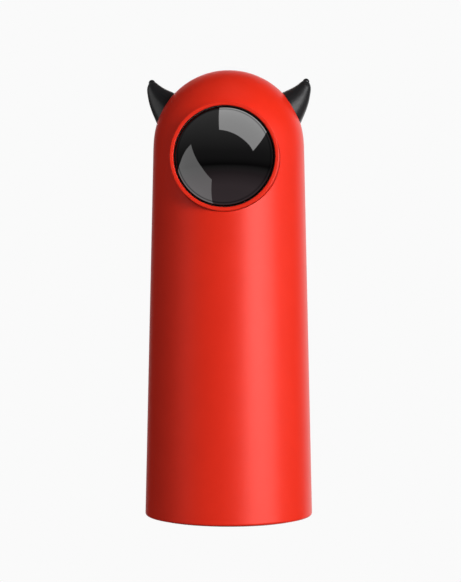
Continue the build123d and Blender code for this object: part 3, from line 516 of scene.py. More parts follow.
@dataclass(frozen=True)
class Lens(Polished):
    """A polished lens with a faint painted dark line: its gloss is dimmed in a thin ring, painted shade in
    its reflections where its inner edge would show through.
    """

    height: float = middle("dome_window")
    # radius, half width and gloss of a ring of painted shade, a dark line in the lens's reflections
    line: float = 19.95 * MM
    painted_line_half: float = 0.25 * MM
    plain: float = 0.5
    painted_line_gloss: float = 0.2

    def tuned(self, nodes: Nodes) -> None:
        """Dims the gloss where the distance from the lens's axis is within half a line of the line: painted
        shade that draws a dark line in the reflections.
        """
        super().tuned(nodes)
        shift = {"Location": (0.0, 0.0, -self.height), "Scale": (1.0, 0.0, 1.0)}
        across = new_node(nodes.tree, "Mapping", shift)
        nodes.tree.links.new(nodes.place, across.inputs["Vector"])
        away = new_node(nodes.tree, "VectorMath")
        away.operation = "LENGTH"
        nodes.tree.links.new(across.outputs["Vector"], away.inputs[0])
        near = new_node(nodes.tree, "Math")
        near.operation = "COMPARE"
        near.inputs[1].default_value = self.line
        near.inputs[2].default_value = self.painted_line_half
        nodes.tree.links.new(away.outputs["Value"], near.inputs[0])
        level = nodes.spread(near.outputs["Value"], self.plain, self.painted_line_gloss, 0.0, 1.0)
        nodes.join(level, "Specular IOR Level")


@dataclass(frozen=True)
class Soft(Finish):
    """Rubber or silicone: a faint sheen over a dull body."""

    sheen: float = 0.2
    sheen_roughness: float = 0.4

    def tuned(self, nodes: Nodes) -> None:
        """Adds the sheen."""
        nodes.set("Sheen Weight", self.sheen)
        nodes.set("Sheen Roughness", self.sheen_roughness)


@dataclass(frozen=True)
class Board(Finish):
    """Solder mask over copper tracks that run up and across in steps."""

    track: float = 2.4 * MM
    copper: Colour = (0.03, 0.22, 0.08)
    copper_width: float = 0.03

    def tuned(self, nodes: Nodes) -> None:
        """Draws the tracks as the thin lighter joints between bricks."""
        bricks = new_node(nodes.tree, "TexBrick", {
            "Scale": 1 / self.track, "Color1": (*self.light, 1.0), "Color2": (*self.dark, 1.0),
            "Mortar": (*self.copper, 1.0), "Mortar Size": self.copper_width,
        })
        nodes.tree.links.new(nodes.place, bricks.inputs["Vector"])
        nodes.join(bricks.outputs["Color"], "Base Color")


class Look(Enum):
    """The finishes of the toy, one for each material slot."""

    RED = Finish("red_plastic", (0.86, 0.023, 0.005), (0.83, 0.021, 0.004), (0.34, 0.42), (0.35, 0.006))
    WINDOW = Lens("smoked_window", (0.0012, 0.001, 0.0012), (0.0009, 0.0008, 0.0009), (0.02, 0.03), (2, 0.0))
    HORN = Soft("black_silicone", (0.014, 0.014, 0.015), (0.010, 0.010, 0.011), (0.30, 0.38), (0.3, 0.004))
    RUBBER = Soft("black_rubber", (0.016, 0.016, 0.016), (0.011, 0.011, 0.011), (0.6, 0.75), (0.5, 0.02))
    BLACK = Finish("black_plastic", (0.020, 0.020, 0.021), (0.015, 0.015, 0.016), (0.45, 0.55), (0.4, 0.01))
    BUTTON = Polished(
        "black_button", (0.016, 0.016, 0.017), (0.012, 0.012, 0.013), (0.26, 0.34), (0.3, 0.004)
    )
    GREY = Finish("grey_plastic", (0.24, 0.24, 0.25), (0.20, 0.20, 0.21), (0.42, 0.55), (0.5, 0.01))
    SCREW = Metal("screw_steel", (0.46, 0.46, 0.47), (0.38, 0.38, 0.40), (0.25, 0.4), (0.3, 0.004))
    BALLAST = Metal("ballast_steel", (0.40, 0.40, 0.42), (0.32, 0.32, 0.34), (0.35, 0.55), (1, 0.01))
    SHAFT = Metal("shaft_steel", (0.62, 0.62, 0.63), (0.55, 0.55, 0.57), (0.15, 0.3), (0.3, 0.002))
    NICKEL = Metal("contact_nickel", (0.68, 0.66, 0.62), (0.58, 0.56, 0.52), (0.2, 0.34), (0.4, 0.002))
    CAN = Metal("motor_can", (0.58, 0.58, 0.60), (0.50, 0.50, 0.52), (0.25, 0.38), (0.5, 0.003))
    CELL = Polished("battery_wrap", (0.03, 0.17, 0.38), (0.025, 0.14, 0.33), (0.2, 0.3), (1.5, 0.01))
    MASK = Board("circuit_board", (0.018, 0.13, 0.05), (0.014, 0.10, 0.04), (0.25, 0.4), (0.3, 0.003))
    CHIP = Finish("chip_black", (0.022, 0.022, 0.024), (0.016, 0.016, 0.018), (0.5, 0.65), (0.2, 0.006))
    PLUG = Finish("plug_white", (0.76, 0.75, 0.70), (0.70, 0.69, 0.64), (0.35, 0.5), (0.4, 0.004))
    LED = Polished("led_lens", (0.86, 0.84, 0.74), (0.80, 0.78, 0.66), (0.08, 0.15), (0.3, 0.001))
    CLEAR = Polished("clear_plastic", (0.74, 0.77, 0.79), (0.66, 0.70, 0.72), (0.1, 0.18), (0.5, 0.001))
    LEAD = Soft("lead_insulation", (0.38, 0.03, 0.03), (0.30, 0.02, 0.02), (0.4, 0.5), (0.3, 0.003))
    PINION = Metal("pinion_brass", (0.74, 0.55, 0.27), (0.66, 0.47, 0.22), (0.2, 0.34), (0.3, 0.002))
    BRONZE = Metal("bush_bronze", (0.56, 0.38, 0.22), (0.46, 0.30, 0.17), (0.4, 0.6), (0.25, 0.008))
    BARREL = Metal("barrel_brass", (0.76, 0.58, 0.30), (0.68, 0.50, 0.25), (0.18, 0.3), (0.3, 0.002))
    GEAR = Finish("gear_white", (0.83, 0.82, 0.77), (0.78, 0.77, 0.71), (0.3, 0.42), (0.4, 0.003))
    GLASS = Polished("laser_glass", (0.5, 0.56, 0.60), (0.46, 0.52, 0.56), (0.02, 0.05), (1, 0.0))


NODE_LOOKS: dict[Look, tuple[str, ...]] = {
    Look.BLACK: ("base_cover", "battery_holder"),
    Look.RUBBER: ("foot_pad",),
    Look.SCREW: ("base_screws", "chassis_screws", "deck_screws", "board_screws", "pan_motor_screws",
                 "yoke_screws", "tilt_motor_screws"),
    Look.BALLAST: ("ballast_plate",),
    Look.GREY: ("chassis", "pan_deck", "yoke", "laser_cradle"),
    Look.CELL: ("battery_cell",),
    Look.NICKEL: ("battery_contacts", "usb_socket"),
    Look.MASK: ("main_board", "charge_board", "laser_board"),
    Look.CHIP: ("board_parts", "tact_switch"),
    Look.LED: ("status_led",),
    Look.PLUG: ("charge_plug",),
    Look.LEAD: ("charge_lead", "battery_leads", "pan_motor_lead"),
    Look.CAN: ("pan_motor", "tilt_motor"),
    Look.SHAFT: ("pan_motor_shaft", "tilt_motor_shaft", "spindle_clip"),
    Look.PINION: ("pan_pinion", "tilt_pinion"),
    Look.BRONZE: ("pan_bush",),
    Look.GEAR: ("pan_wheel", "tilt_sector"),
    Look.BARREL: ("laser_barrel",),
    Look.GLASS: ("laser_lens",),
}


# ---------------------------------------------------------------- shell


@dataclass
class Shell:
    """The moulded cover: a drafted tube, a slack shoulder arc and a dome, with its openings."""

    top: float = highest("outer_shell", 2)
    rim_z: float = lowest("outer_shell", 2)
    wall: float = 2.2 * MM
    draft: float = radians(1.24)
    neck: float = 34.0 * MM
    shoulder: float = 60.0 * MM
    dome: float = 33.85 * MM
    rim_round: float = 1.2 * MM
    rim_steps: int = 8
    window_z: float = middle("dome_window")
    bore: float = 23.7 * MM
    boss_rear: float = highest("window_bezel", 1) - 1.5 * MM
    button_z: float = middle("power_button")
    button_hole: float = 6.3 * MM
    spot_radius: float = 7.6 * MM
    spot_depth: float = 0.9 * MM
    guide_length: float = 2.85 * MM
    light_z: float = middle("light_pipe")
    light_hole: float = 1.55 * MM
    port_z: float = middle("usb_socket")
    pocket: Triple = (13.0 * MM, 7.2 * MM, 1.2 * MM)
    slot: tuple[float, float] = (9.74 * MM, 4.06 * MM)
    segments: int = 224
    inner_rows: tuple[int, int, int] = (12, 6, 20)
    outer_rows: tuple[int, int, int] = (40, 20, 56)
    bore_segments: int = 192
    hole_segments: int = 120
    port_segments: int = 64
    light_segments: int = 48
    same_way: float = 0.99
    same_place: float = 0.02 * MM

    def __post_init__(self) -> None:
        """Works out the centres of the dome and of the shoulder arc, as the solids do."""
        self.dome_z = self.top - self.dome
        spare = self.shoulder - self.dome
        self.lean = np.arccos((self.shoulder * np.cos(self.draft) - self.neck) / spare)
        self.arc_x = self.neck - self.shoulder * np.cos(self.draft)
        self.arc_z = self.dome_z - spare * np.sin(self.lean)
        self.shoulder_z = self.arc_z + self.shoulder * np.sin(self.draft)

    def radius_at(self, z: float) -> float:
        """Outer radius of the tube's wall at a height: neck + (shoulder_z - z) tan(draft)."""
        return float(self.neck + (self.shoulder_z - z) * np.tan(self.draft))

    def outline(self, inset: float, rows: tuple[int, int, int]) -> np.ndarray:
        """Half outline from the rim up to the top, moved inwards.

        Args:
            inset: how far inwards, in metres.
            rows: divisions of the wall, the shoulder arc and the dome.

        Returns:
            (radius, height) pairs that end on the axis.
        """
        foot = (self.radius_at(self.rim_z) - inset / np.cos(self.draft), self.rim_z)
        shoulder = arc((self.arc_x, self.arc_z), self.shoulder - inset, self.draft, self.lean, rows[1])
        dome = arc((0, self.dome_z), self.dome - inset, self.lean, np.pi / 2, rows[2])
        dome[-1, 0] = 0
        s = np.linspace(0, 1, rows[0] + 1)[:-1, None]
        wall = np.array(foot) * (1 - s) + shoulder[0] * s
        return np.vstack([wall, shoulder, dome[1:]])

    def profile(self) -> np.ndarray:
        """Closed section from the inner pole, down, round the rim and up to the outer pole."""
        inner = self.outline(self.wall, self.inner_rows)[::-1]
        outer = self.outline(0.0, self.outer_rows)
        foot, above = outer[0], outer[2]
        rim = rounded_line([(*inner[-1], 0), (*foot, self.rim_round), (*above, 0)], self.rim_steps)
        return np.vstack([inner[:-1], rim, outer[3:]])

    def regions(self, points: np.ndarray) -> tuple[np.ndarray, ...]:
        """Distance from the axis and height of points, and whether they lie on the dome or on the arc."""
        radial = np.linalg.norm(points[:, :2], axis=1)
        height = points[:, 2]
        on_dome = np.arctan2(height - self.dome_z, radial) > self.lean
        return radial, height, on_dome, ~on_dome & (height > self.shoulder_z)

    def normals(self, points: np.ndarray) -> np.ndarray:
        """Outward directions of the outer surface: from the dome's or the arc's centre, or the draft's."""
        radial, height, on_dome, on_arc = self.regions(points)
        arc_out, arc_up = radial - self.arc_x, height - self.arc_z
        out = np.where(on_dome, radial, np.where(on_arc, arc_out, np.cos(self.draft)))
        up = np.where(on_dome, height - self.dome_z, np.where(on_arc, arc_up, np.sin(self.draft)))
        size = np.hypot(out, up)
        turn = points[:, :2] / np.maximum(radial, ON_AXIS)[:, None]
        return np.column_stack([turn * (out / size)[:, None], up / size])

    def off_surface(self, points: np.ndarray) -> np.ndarray:
        """How far points are from the outer surface."""
        radial, height, on_dome, on_arc = self.regions(points)
        dome = np.hypot(radial, height - self.dome_z) - self.dome
        bend = np.hypot(radial - self.arc_x, height - self.arc_z) - self.shoulder
        wall = (radial - self.neck - (self.shoulder_z - height) * np.tan(self.draft)) * np.cos(self.draft)
        return np.abs(np.where(on_dome, dome, np.where(on_arc, bend, wall)))

    def plug(self, radius: float, near: float, far: float, segments: int) -> Surface:
        """A closed cylinder along the local z axis, with no corner above or beside its axis."""
        return turned(np.array([(0, near), (radius, near), (radius, far), (0, far)]), segments, HALF_STEP)

    def oblong(self, width: float, height: float, near: float, far: float) -> Surface:
        """A closed bar with half-round sides: a circle stretched by a straight middle part."""
        bar = self.plug(height / 2, near, far, self.port_segments)
        bar.points[:, 0] += np.sign(np.round(bar.points[:, 0], 7)) * (width - height) / 2
        return bar

    def cutters(self) -> list[Surface]:
        """What is cut from the plain cover: bore, stepped button hole, light hole, socket slot and pocket."""
        far = 2 * self.neck
        button, light, port = (self.radius_at(z) for z in (self.button_z, self.light_z, self.port_z))
        guide, floor = button - self.wall - self.guide_length, button - self.spot_depth
        hole = np.array([(0, guide - MM), (self.button_hole, guide - MM), (self.button_hole, floor),
                         (self.spot_radius, floor), (self.spot_radius, far), (0, far)])
        behind = (
            (turned(hole, self.hole_segments, HALF_STEP), self.button_z),
            (self.plug(self.light_hole, light - 2 * self.wall, far, self.light_segments), self.light_z),
            (self.oblong(*self.slot, port - 3 * self.wall, far), self.port_z),
            (self.oblong(*self.pocket[:2], port - self.pocket[2], far), self.port_z),
        )
        bore = self.plug(self.bore, -self.boss_rear - MM, far, self.bore_segments)
        front = bore.placed(facing_front(self.window_z))
        return [front, *(cutter.placed(facing_back(z)) for cutter, z in behind)]

    def mesh(self) -> bpy.types.Mesh:
        """The cover with its openings, shaded with the exact directions of its outer surface."""
        plain = turned(self.profile(), self.segments).mesh("shell_cover")
        mesh = carved(plain, self.cutters())
        loops = len(mesh.loops)
        corner = np.empty(loops, np.int32)
        mesh.loops.foreach_get("vertex_index", corner)
        points = np.empty(len(mesh.vertices) * 3)
        mesh.vertices.foreach_get("co", points)
        points = points.reshape(-1, 3)[corner]
        shaded = np.empty(loops * 3, np.float32)
        mesh.corner_normals.foreach_get("vector", shaded)
        sides = np.empty(len(mesh.polygons), np.int32)
        mesh.polygons.foreach_get("loop_total", sides)
        flat = np.empty(len(mesh.polygons) * 3)
        mesh.polygons.foreach_get("normal", flat)
        face = np.repeat(flat.reshape(-1, 3), sides, axis=0)
        exact = self.normals(points)
        facing = np.sum(face * exact, axis=1) > self.same_way
        outside = facing & (self.off_surface(points) < self.same_place)
        chosen = np.where(outside[:, None], exact, shaded.reshape(-1, 3))
        mesh.normals_split_custom_set(chosen.tolist())
        return mesh

    def dress(self) -> None:
        """Puts the cover into the scene."""
        in_scene(self.mesh(), Look.RED, "housing", "outer_shell")


# ---------------------------------------------------------------- window


@dataclass
class Window:
    """The round window: bezel ring, gasket and smoked lens, all turned about its axis."""

    axis_z: float = middle("dome_window")
    face: float = -lowest("window_bezel", 1)
    rear: float = -highest("window_bezel", 1)
    radius: float = 23.5 * MM
    bore: float = 21.75 * MM
    flange: float = highest("window_bezel", 0)
    flange_wall: float = 1.5 * MM
    outer_round: float = 0.5 * MM
    inner_round: float = 0.4 * MM
    ledge: float = 2.1 * MM
    ledge_wall: float = 1.5 * MM
    ledge_depth: float = 5.1 * MM
    gasket_recess: float = 0.45 * MM
    lens: float = highest("dome_window", 0)
    lens_sphere: float = 31.0 * MM
    lens_wall: float = 1.8 * MM
    lens_recess: float = 0.6 * MM
    lens_round: float = 2.2 * MM
    edge: float = 0.1 * MM
    brim: float = 0.2 * MM
    fit: float = 0.025 * MM
    segments: int = 256
    lens_rows: tuple[int, int, int] = (24, 12, 64)

    def turned_round(self, line: np.ndarray) -> Surface:
        """A section turned about the window's axis."""
        return turned(line, self.segments).placed(facing_front(self.axis_z))

    def bezel(self) -> Surface:
        """Ring with a rounded front, an inner ledge for the lens and a flange behind the cover."""
        ledge = self.face - self.ledge_depth
        seat = self.rear + self.flange_wall
        inside, under = self.bore - self.ledge, ledge - self.ledge_wall
        corners = [
            (self.bore, self.face, self.inner_round), (self.bore, ledge, self.edge),
            (inside, ledge, self.brim), (inside, under, self.brim),
            (self.bore, under, self.edge), (self.bore, self.rear, self.edge),
            (self.flange, self.rear, self.brim), (self.flange, seat, self.brim),
            (self.radius, seat, self.edge), (self.radius, self.face, self.outer_round),
        ]
        return self.turned_round(rounded_line(corners, 8, closed=True))

    def gasket(self) -> Surface:
        """Soft ring between bezel and lens, rounded at its front."""
        ledge = self.face - self.ledge_depth
        front = self.face - self.gasket_recess
        inner, outer = self.lens + self.fit, self.bore - self.fit
        corners = [(inner, front, self.brim), (inner, ledge, 0.05 * MM),
                   (outer, ledge, 0.05 * MM), (outer, front, self.brim)]
        return self.turned_round(rounded_line(corners, 5, closed=True))

    def pane(self) -> Surface:
        """Domed lens: a cap of a sphere, a rounded edge, a short skirt and the inner sphere."""
        centre = self.face - self.lens_recess - np.sqrt(self.lens_sphere**2 - self.lens**2)
        ledge = self.face - self.ledge_depth
        inner_sphere = self.lens_sphere - self.lens_wall
        inner = self.lens - self.lens_wall
        turn_in = self.lens_sphere - self.lens_round
        edge_r = self.lens - self.lens_round
        edge = np.arccos(edge_r / turn_in)
        hub = (edge_r, centre + turn_in * np.sin(edge))
        inside = arc((0, centre), inner_sphere, np.pi / 2, np.arccos(inner / inner_sphere), self.lens_rows[0])
        skirt = np.array([(inner, ledge), (self.lens, ledge)])
        fillet = arc(hub, self.lens_round, 0.0, edge, self.lens_rows[1])
        outside = arc((0, centre), self.lens_sphere, edge, np.pi / 2, self.lens_rows[2])
        inside[0, 0] = outside[-1, 0] = 0
        guard = np.array([(self.lens, hub[1] - self.edge)])
        return self.turned_round(np.vstack([inside, skirt, guard, fillet, outside[1:]]))

    def dress(self) -> None:
        """Puts the ring, the gasket and the lens into the scene."""
        in_scene(self.bezel().mesh("bezel_ring"), Look.RED, "housing", "window_bezel")
        in_scene(self.gasket().mesh("gasket_ring"), Look.RUBBER, "housing", "window_gasket")
        in_scene(self.pane().mesh("window_dome"), Look.WINDOW, "housing", "dome_window")


# ---------------------------------------------------------------- horns


@dataclass
class Horn:
    """A soft curved cone on the dome's shoulder, held by a stem through the cover."""

    side: int
    dome_z: float
    dome: float
    depth_ratio: float = 0.9
    stem_radius: float = 4.0 * MM
    stem_angle: float = radians(30.5)
    flange_radius: float = 5.5 * MM
    flange_wall: float = 1.5 * MM
    cover_wall: float = 2.2 * MM
    # centre line's x and height over the dome's centre and half width in mm, lean from level in degrees
    sections: tuple[tuple[float, float, float, float], ...] = (
        (26.48, 15.23, 9.1, 32.9),
        (28.37, 17.14, 8.04, 31.0),
        (32.39, 22.12, 5.28, 37.6),
        (34.33, 25.77, 3.41, 46.7),
        (35.06, 27.92, 2.21, 57.0),
        (34.83, 28.76, 1.5, 75.0),
    )
    columns: int = 96
    rows: int = 72
    cap_steps: int = 9
    seat_steps: int = 7
    probes: int = 161
    probe_end: float = 0.8
    gap: float = 0.05 * MM

    def sheath(self, s: np.ndarray, turn: np.ndarray) -> np.ndarray:
        """Points of the cone: centre(s) + w(s) (cos t side(s) + ratio sin t depth).

        Args:
            s: parameter along the horn for each point, 0 to 1.
            turn: angle round the horn for each point.

        Returns:
            Points with the dome's centre as origin and +x outwards.
        """
        table = np.array(self.sections)
        table[:, :3] *= MM
        knots = np.concatenate([[0], np.cumsum(np.hypot(*np.diff(table[:, :2], axis=0).T))])
        row = spline(knots / knots[-1], table, s.ravel()).reshape(*s.shape, 4)
        lean = np.radians(row[..., 3])
        across = np.stack([np.sin(lean), np.zeros_like(lean), -np.cos(lean)], axis=-1)
        centre = np.stack([row[..., 0], np.zeros_like(lean), row[..., 1]], axis=-1)
        width = row[..., 2:3]
        depth = np.array([0.0, 1.0, 0.0]) * self.depth_ratio
        return centre + width * (np.cos(turn)[..., None] * across + np.sin(turn)[..., None] * depth)

    def surface(self) -> Surface:
        """Horn, seat on the dome, stem and flange as one closed surface."""
        turn = np.linspace(0, 2 * np.pi, self.columns, endpoint=False)
        probe, angle = np.meshgrid(np.linspace(0, self.probe_end, self.probes), turn, indexing="ij")
        reach = np.linalg.norm(self.sheath(probe, angle), axis=2) - self.dome
        crossing = np.argmax(reach > 0, axis=0)
        column = np.arange(self.columns)
        low, high = reach[crossing - 1, column], reach[crossing, column]
        start = probe[crossing - 1, column] + (probe[1, 0] - probe[0, 0]) * low / (low - high)
        share = np.linspace(0, 1, self.rows)[:, None]
        cone = self.sheath(start + (1 - start) * share, np.broadcast_to(turn, (self.rows, self.columns)))
        tip_r, tip_lean = self.sections[-1][2] * MM, radians(self.sections[-1][3])
        way = np.array([np.cos(tip_lean), 0, np.sin(tip_lean)])
        centre = np.array([self.sections[-1][0], 0, self.sections[-1][1]]) * MM
        rise = np.linspace(0, np.pi / 2, self.cap_steps)[1:-1, None, None]
        cap = centre + (cone[-1] - centre) * np.cos(rise) + way * tip_r * np.sin(rise)
        stem = np.array([np.cos(self.stem_angle), 0, np.sin(self.stem_angle)])
        up = np.cross(stem, [0, 1, 0])
        ring = -np.cos(turn)[:, None] * up + np.sin(turn)[:, None] * np.array([0, 1.0, 0])
        spread = np.linspace(0, 1, self.seat_steps)[:-1, None, None]
        hub = stem * self.dome + ring * self.stem_radius
        seat = hub * (1 - spread) + cone[0] * spread
        seat *= self.dome / np.linalg.norm(seat, axis=2, keepdims=True)
        under = np.sqrt((self.dome - self.cover_wall) ** 2 - self.flange_radius**2) - self.gap
        steps = [(self.stem_radius, under), (self.flange_radius, under),
                 (self.flange_radius, under - self.flange_wall)]
        foot = np.array([stem * h + ring * r for r, h in steps])[::-1]
        rings = np.concatenate([foot, seat, cone, cap])
        body = capped_grid(rings, stem * (under - self.flange_wall), centre + way * tip_r)
        body.points[:, 0] *= self.side
        body.points[:, 2] += self.dome_z
        return body

    def dress(self) -> None:
        """Puts the horn into the scene, with its faces turned outwards."""
        node = "horn_right" if self.side > 0 else "horn_left"
        surface = self.surface()
        if self.side < 0:
            surface.faces = [f[:, ::-1] for f in surface.faces]
        in_scene(surface.mesh("soft_" + node), Look.HORN, "housing", node)


# ---------------------------------------------------------------- back and works


@dataclass
class PowerButton:
    """The round push button at the back, with a power sign pressed into its face."""

    height: float = middle("power_button")
    face: float = highest("power_button", 1)
    rear: float = lowest("power_button", 1)
    radius: float = 6.0 * MM
    round_edge: float = 0.8 * MM
    flange: float = highest("power_button", 0)
    flange_wall: float = 1.2 * MM
    stem: float = 2.0 * MM
    cap: float = 5.1 * MM
    sign_radius: float = 2.4 * MM
    sign_stroke: float = 0.8 * MM
    sign_gap: float = radians(38)
    sign_depth: float = 0.4 * MM
    sign_reach: float = 1.2
    sign_steps: int = 48
    segments: int = 128

    def sign(self) -> list[Surface]:
        """Cutters for an open ring, and for a stroke in its gap."""
        half = self.sign_stroke / 2
        inner, outer = self.sign_radius - half, self.sign_radius + half
        start, end = np.pi / 2 + self.sign_gap, 5 * np.pi / 2 - self.sign_gap
        ring = np.vstack([arc((0, 0), outer, start, end, self.sign_steps),
                          arc((0, 0), inner, end, start, self.sign_steps)])
        tip = self.sign_reach * outer
        stroke = np.array([(-half, half), (half, half), (half, tip), (-half, tip)])
        depth, place = self.face - self.sign_depth, facing_back(self.height)
        return [prism(shape, depth, self.face + MM).placed(place) for shape in (ring, stroke)]

    def surface(self) -> Surface:
        """Cap, flange and stem turned about the button's axis."""
        front = self.face - self.cap
        corners = [
            (0, self.rear, 0), (self.stem, self.rear, 0.2 * MM),
            (self.stem, front - self.flange_wall, 0.1 * MM),
            (self.flange, front - self.flange_wall, 0.15 * MM), (self.flange, front, 0.15 * MM),
            (self.radius, front, 0.1 * MM), (self.radius, self.face, self.round_edge), (0, self.face, 0),
        ]
        return turned(rounded_line(corners), self.segments).placed(facing_back(self.height))

    def dress(self) -> None:
        """Puts the button on its body."""
        mesh = carved(self.surface().mesh("push_button"), self.sign())
        in_scene(mesh, Look.BUTTON, "button", "power_button")


@dataclass
class LightPipe:
    """The small clear rod that brings the status light to the back."""

    height: float = middle("light_pipe")
    face: float = highest("light_pipe", 1)
    rear: float = lowest("light_pipe", 1)
    radius: float = 1.5 * MM
    flange: float = highest("light_pipe", 0)
    seat_depth: float = 2.65 * MM
    segments: int = 64

    def surface(self) -> Surface:
        """Rod with a flange and a domed front."""
        seat = self.face - self.seat_depth
        corners = [
            (0, self.rear, 0), (self.radius, self.rear, 0.1 * MM), (self.radius, seat - MM, 0.05 * MM),
            (self.flange, seat - MM, 0.1 * MM), (self.flange, seat, 0.1 * MM), (self.radius, seat, 0.05 * MM),
            (self.radius, self.face, 0.7 * MM), (0, self.face, 0),
        ]
        return turned(rounded_line(corners), self.segments).placed(facing_back(self.height))

    def dress(self) -> None:
        """Puts the rod into the cover."""
        in_scene(self.surface().mesh("light_rod"), Look.CLEAR, "housing", "light_pipe")


def dress_nodes(nodes: dict[str, bpy.types.Object]) -> None:
    """Gives every CAD node that still shows the finish of its slot.

    Args:
        nodes: the frame's objects by name.
    """
    for look, names in NODE_LOOKS.items():
        for name in names:
            mesh = nodes[name].data
            mesh.materials.clear()
            mesh.materials.append(look.value.material())
    log.info("dressed %d nodes", sum(len(names) for names in NODE_LOOKS.values()))


# ---------------------------------------------------------------- studio


def light_material(mesh: bpy.types.Mesh) -> tuple[bpy.types.NodeTree, bpy.types.Node]:
    """Gives a light's mesh a glow that is added to what lies behind it.

    Args:
        mesh: the mesh, which also gives the material its name.

    Returns:
        The material's node tree and its emission node.
    """
    material = bpy.data.materials.new(mesh.name)
    material.use_nodes = True
    tree = material.node_tree
    tree.nodes.clear()
    glow, clear, both, out = (
        new_node(tree, kind) for kind in ("Emission", "BsdfTransparent", "AddShader", "OutputMaterial")
    )
    tree.links.new(glow.outputs["Emission"], both.inputs[0])
    tree.links.new(clear.outputs["BSDF"], both.inputs[1])
    tree.links.new(both.outputs["Shader"], out.inputs["Surface"])
    mesh.materials.append(material)
    return tree, glow


def keep_to(light: bpy.types.Object, pieces: Sequence[str]) -> None:
    """Lets a light reach only the named pieces."""
    lit = bpy.data.collections.new(light.name)
    for piece in pieces:
        lit.objects.link(bpy.data.objects[piece])
    light.light_linking.receiver_collection = lit


@dataclass(frozen=True)
class SoftBox:
    """A flat panel for gloss, whose corners lie in given directions from the window, on one plane."""

    name: str
    corners: tuple[Triple, ...]
    facing: Triple
    distance: float
    strength: float
    lights: tuple[str, ...]

    def build(self, eye: np.ndarray) -> None:
        """Makes the panel, unseen by the camera: each corner is eye + distance d / (d . facing).

        Args:
            eye: point that the directions start from.
        """
        facing = np.array(self.facing) / np.linalg.norm(self.facing)
        ways = np.array(self.corners, float)
        points = eye + self.distance * ways / (ways @ facing)[:, None]
        mesh = bpy.data.meshes.new(self.name)
        mesh.from_pydata(points.tolist(), [], [list(range(len(points)))])
        panel = new_object(self.name, mesh)
        _, glow = light_material(mesh)
        glow.inputs["Strength"].default_value = self.strength
        panel.visible_camera = panel.visible_diffuse = panel.visible_shadow = False
        keep_to(panel, self.lights)


@dataclass(frozen=True)
class Surround:
    """A sphere round the toy, or the front half of one, whose grey goes by height."""

    name: str
    radius: float
    # (height from bottom 0 to top 1, grey, red tint)
    greys: tuple[tuple[float, float, float], ...]
    turn: float
    gloss: bool
    lights: tuple[str, ...] = ()
    steps: int = 49
    blue_tint: float = 0.7

    def build(self, eye: np.ndarray) -> None:
        """Makes the sphere: eye + R (cos a cos b, -sin a cos b, sin b), with a from 0 to the turn.

        Only gloss or only shading sees it.

        Args:
            eye: centre of the sphere.
        """
        around = np.linspace(0, self.turn, self.steps)
        turn, rise = np.meshgrid(around, np.linspace(-np.pi / 2, np.pi / 2, self.steps))
        ways = np.stack([np.cos(turn) * np.cos(rise), -np.sin(turn) * np.cos(rise), np.sin(rise)], axis=2)
        mesh = bpy.data.meshes.new(self.name)
        points = eye + self.radius * ways.reshape(-1, 3)
        mesh.from_pydata(points.tolist(), [], grid_faces(self.steps, self.steps, False).tolist())
        ball = new_object(self.name, mesh)
        tree, glow = light_material(mesh)
        split = new_node(tree, "SeparateXYZ")
        tree.links.new(new_node(tree, "TexCoord").outputs["Object"], split.inputs["Vector"])
        limits = {"From Min": eye[2] - self.radius, "From Max": eye[2] + self.radius}
        unit = new_node(tree, "MapRange", limits)
        tree.links.new(split.outputs["Z"], unit.inputs["Value"])
        band = new_node(tree, "ValToRGB")
        while len(band.color_ramp.elements) < len(self.greys):
            band.color_ramp.elements.new(0.5)
        for element, (position, grey, tint) in zip(band.color_ramp.elements, self.greys):
            element.position = position
            element.color = (grey, grey * (1 - tint), grey * (1 - self.blue_tint * tint), 1.0)
        tree.links.new(unit.outputs["Result"], band.inputs["Fac"])
        tree.links.new(band.outputs["Color"], glow.inputs["Color"])
        ball.visible_camera = ball.visible_shadow = False
        ball.visible_glossy, ball.visible_diffuse = self.gloss, not self.gloss
        if self.lights:
            keep_to(ball, self.lights)


@dataclass(frozen=True)
class Lamp:
    """A large square soft lamp that shades the toy but doesn't show in its gloss."""

    name: str
    azimuth: float
    elevation: float
    power: float
    distance: float = 1.6
    size: float = 0.8

    def build(self, aim: np.ndarray) -> None:
        """Makes the lamp on a sphere round the aim and turns it to the aim.

        Args:
            aim: point that the lamp faces. Azimuth 0 is in front of it, and 90 on its right.
        """
        turn, rise = radians(self.azimuth), radians(self.elevation)
        way = np.array([np.sin(turn) * np.cos(rise), -np.cos(turn) * np.cos(rise), np.sin(rise)])
        data = bpy.data.lights.new(self.name, "AREA")
        data.size = self.size
        data.energy = self.power
        lamp = new_object(self.name, data)
        lamp.location = aim + self.distance * way
        lamp.rotation_euler = Vector(way).to_track_quat("Z", "Y").to_euler()
        lamp.visible_glossy = lamp.visible_camera = False


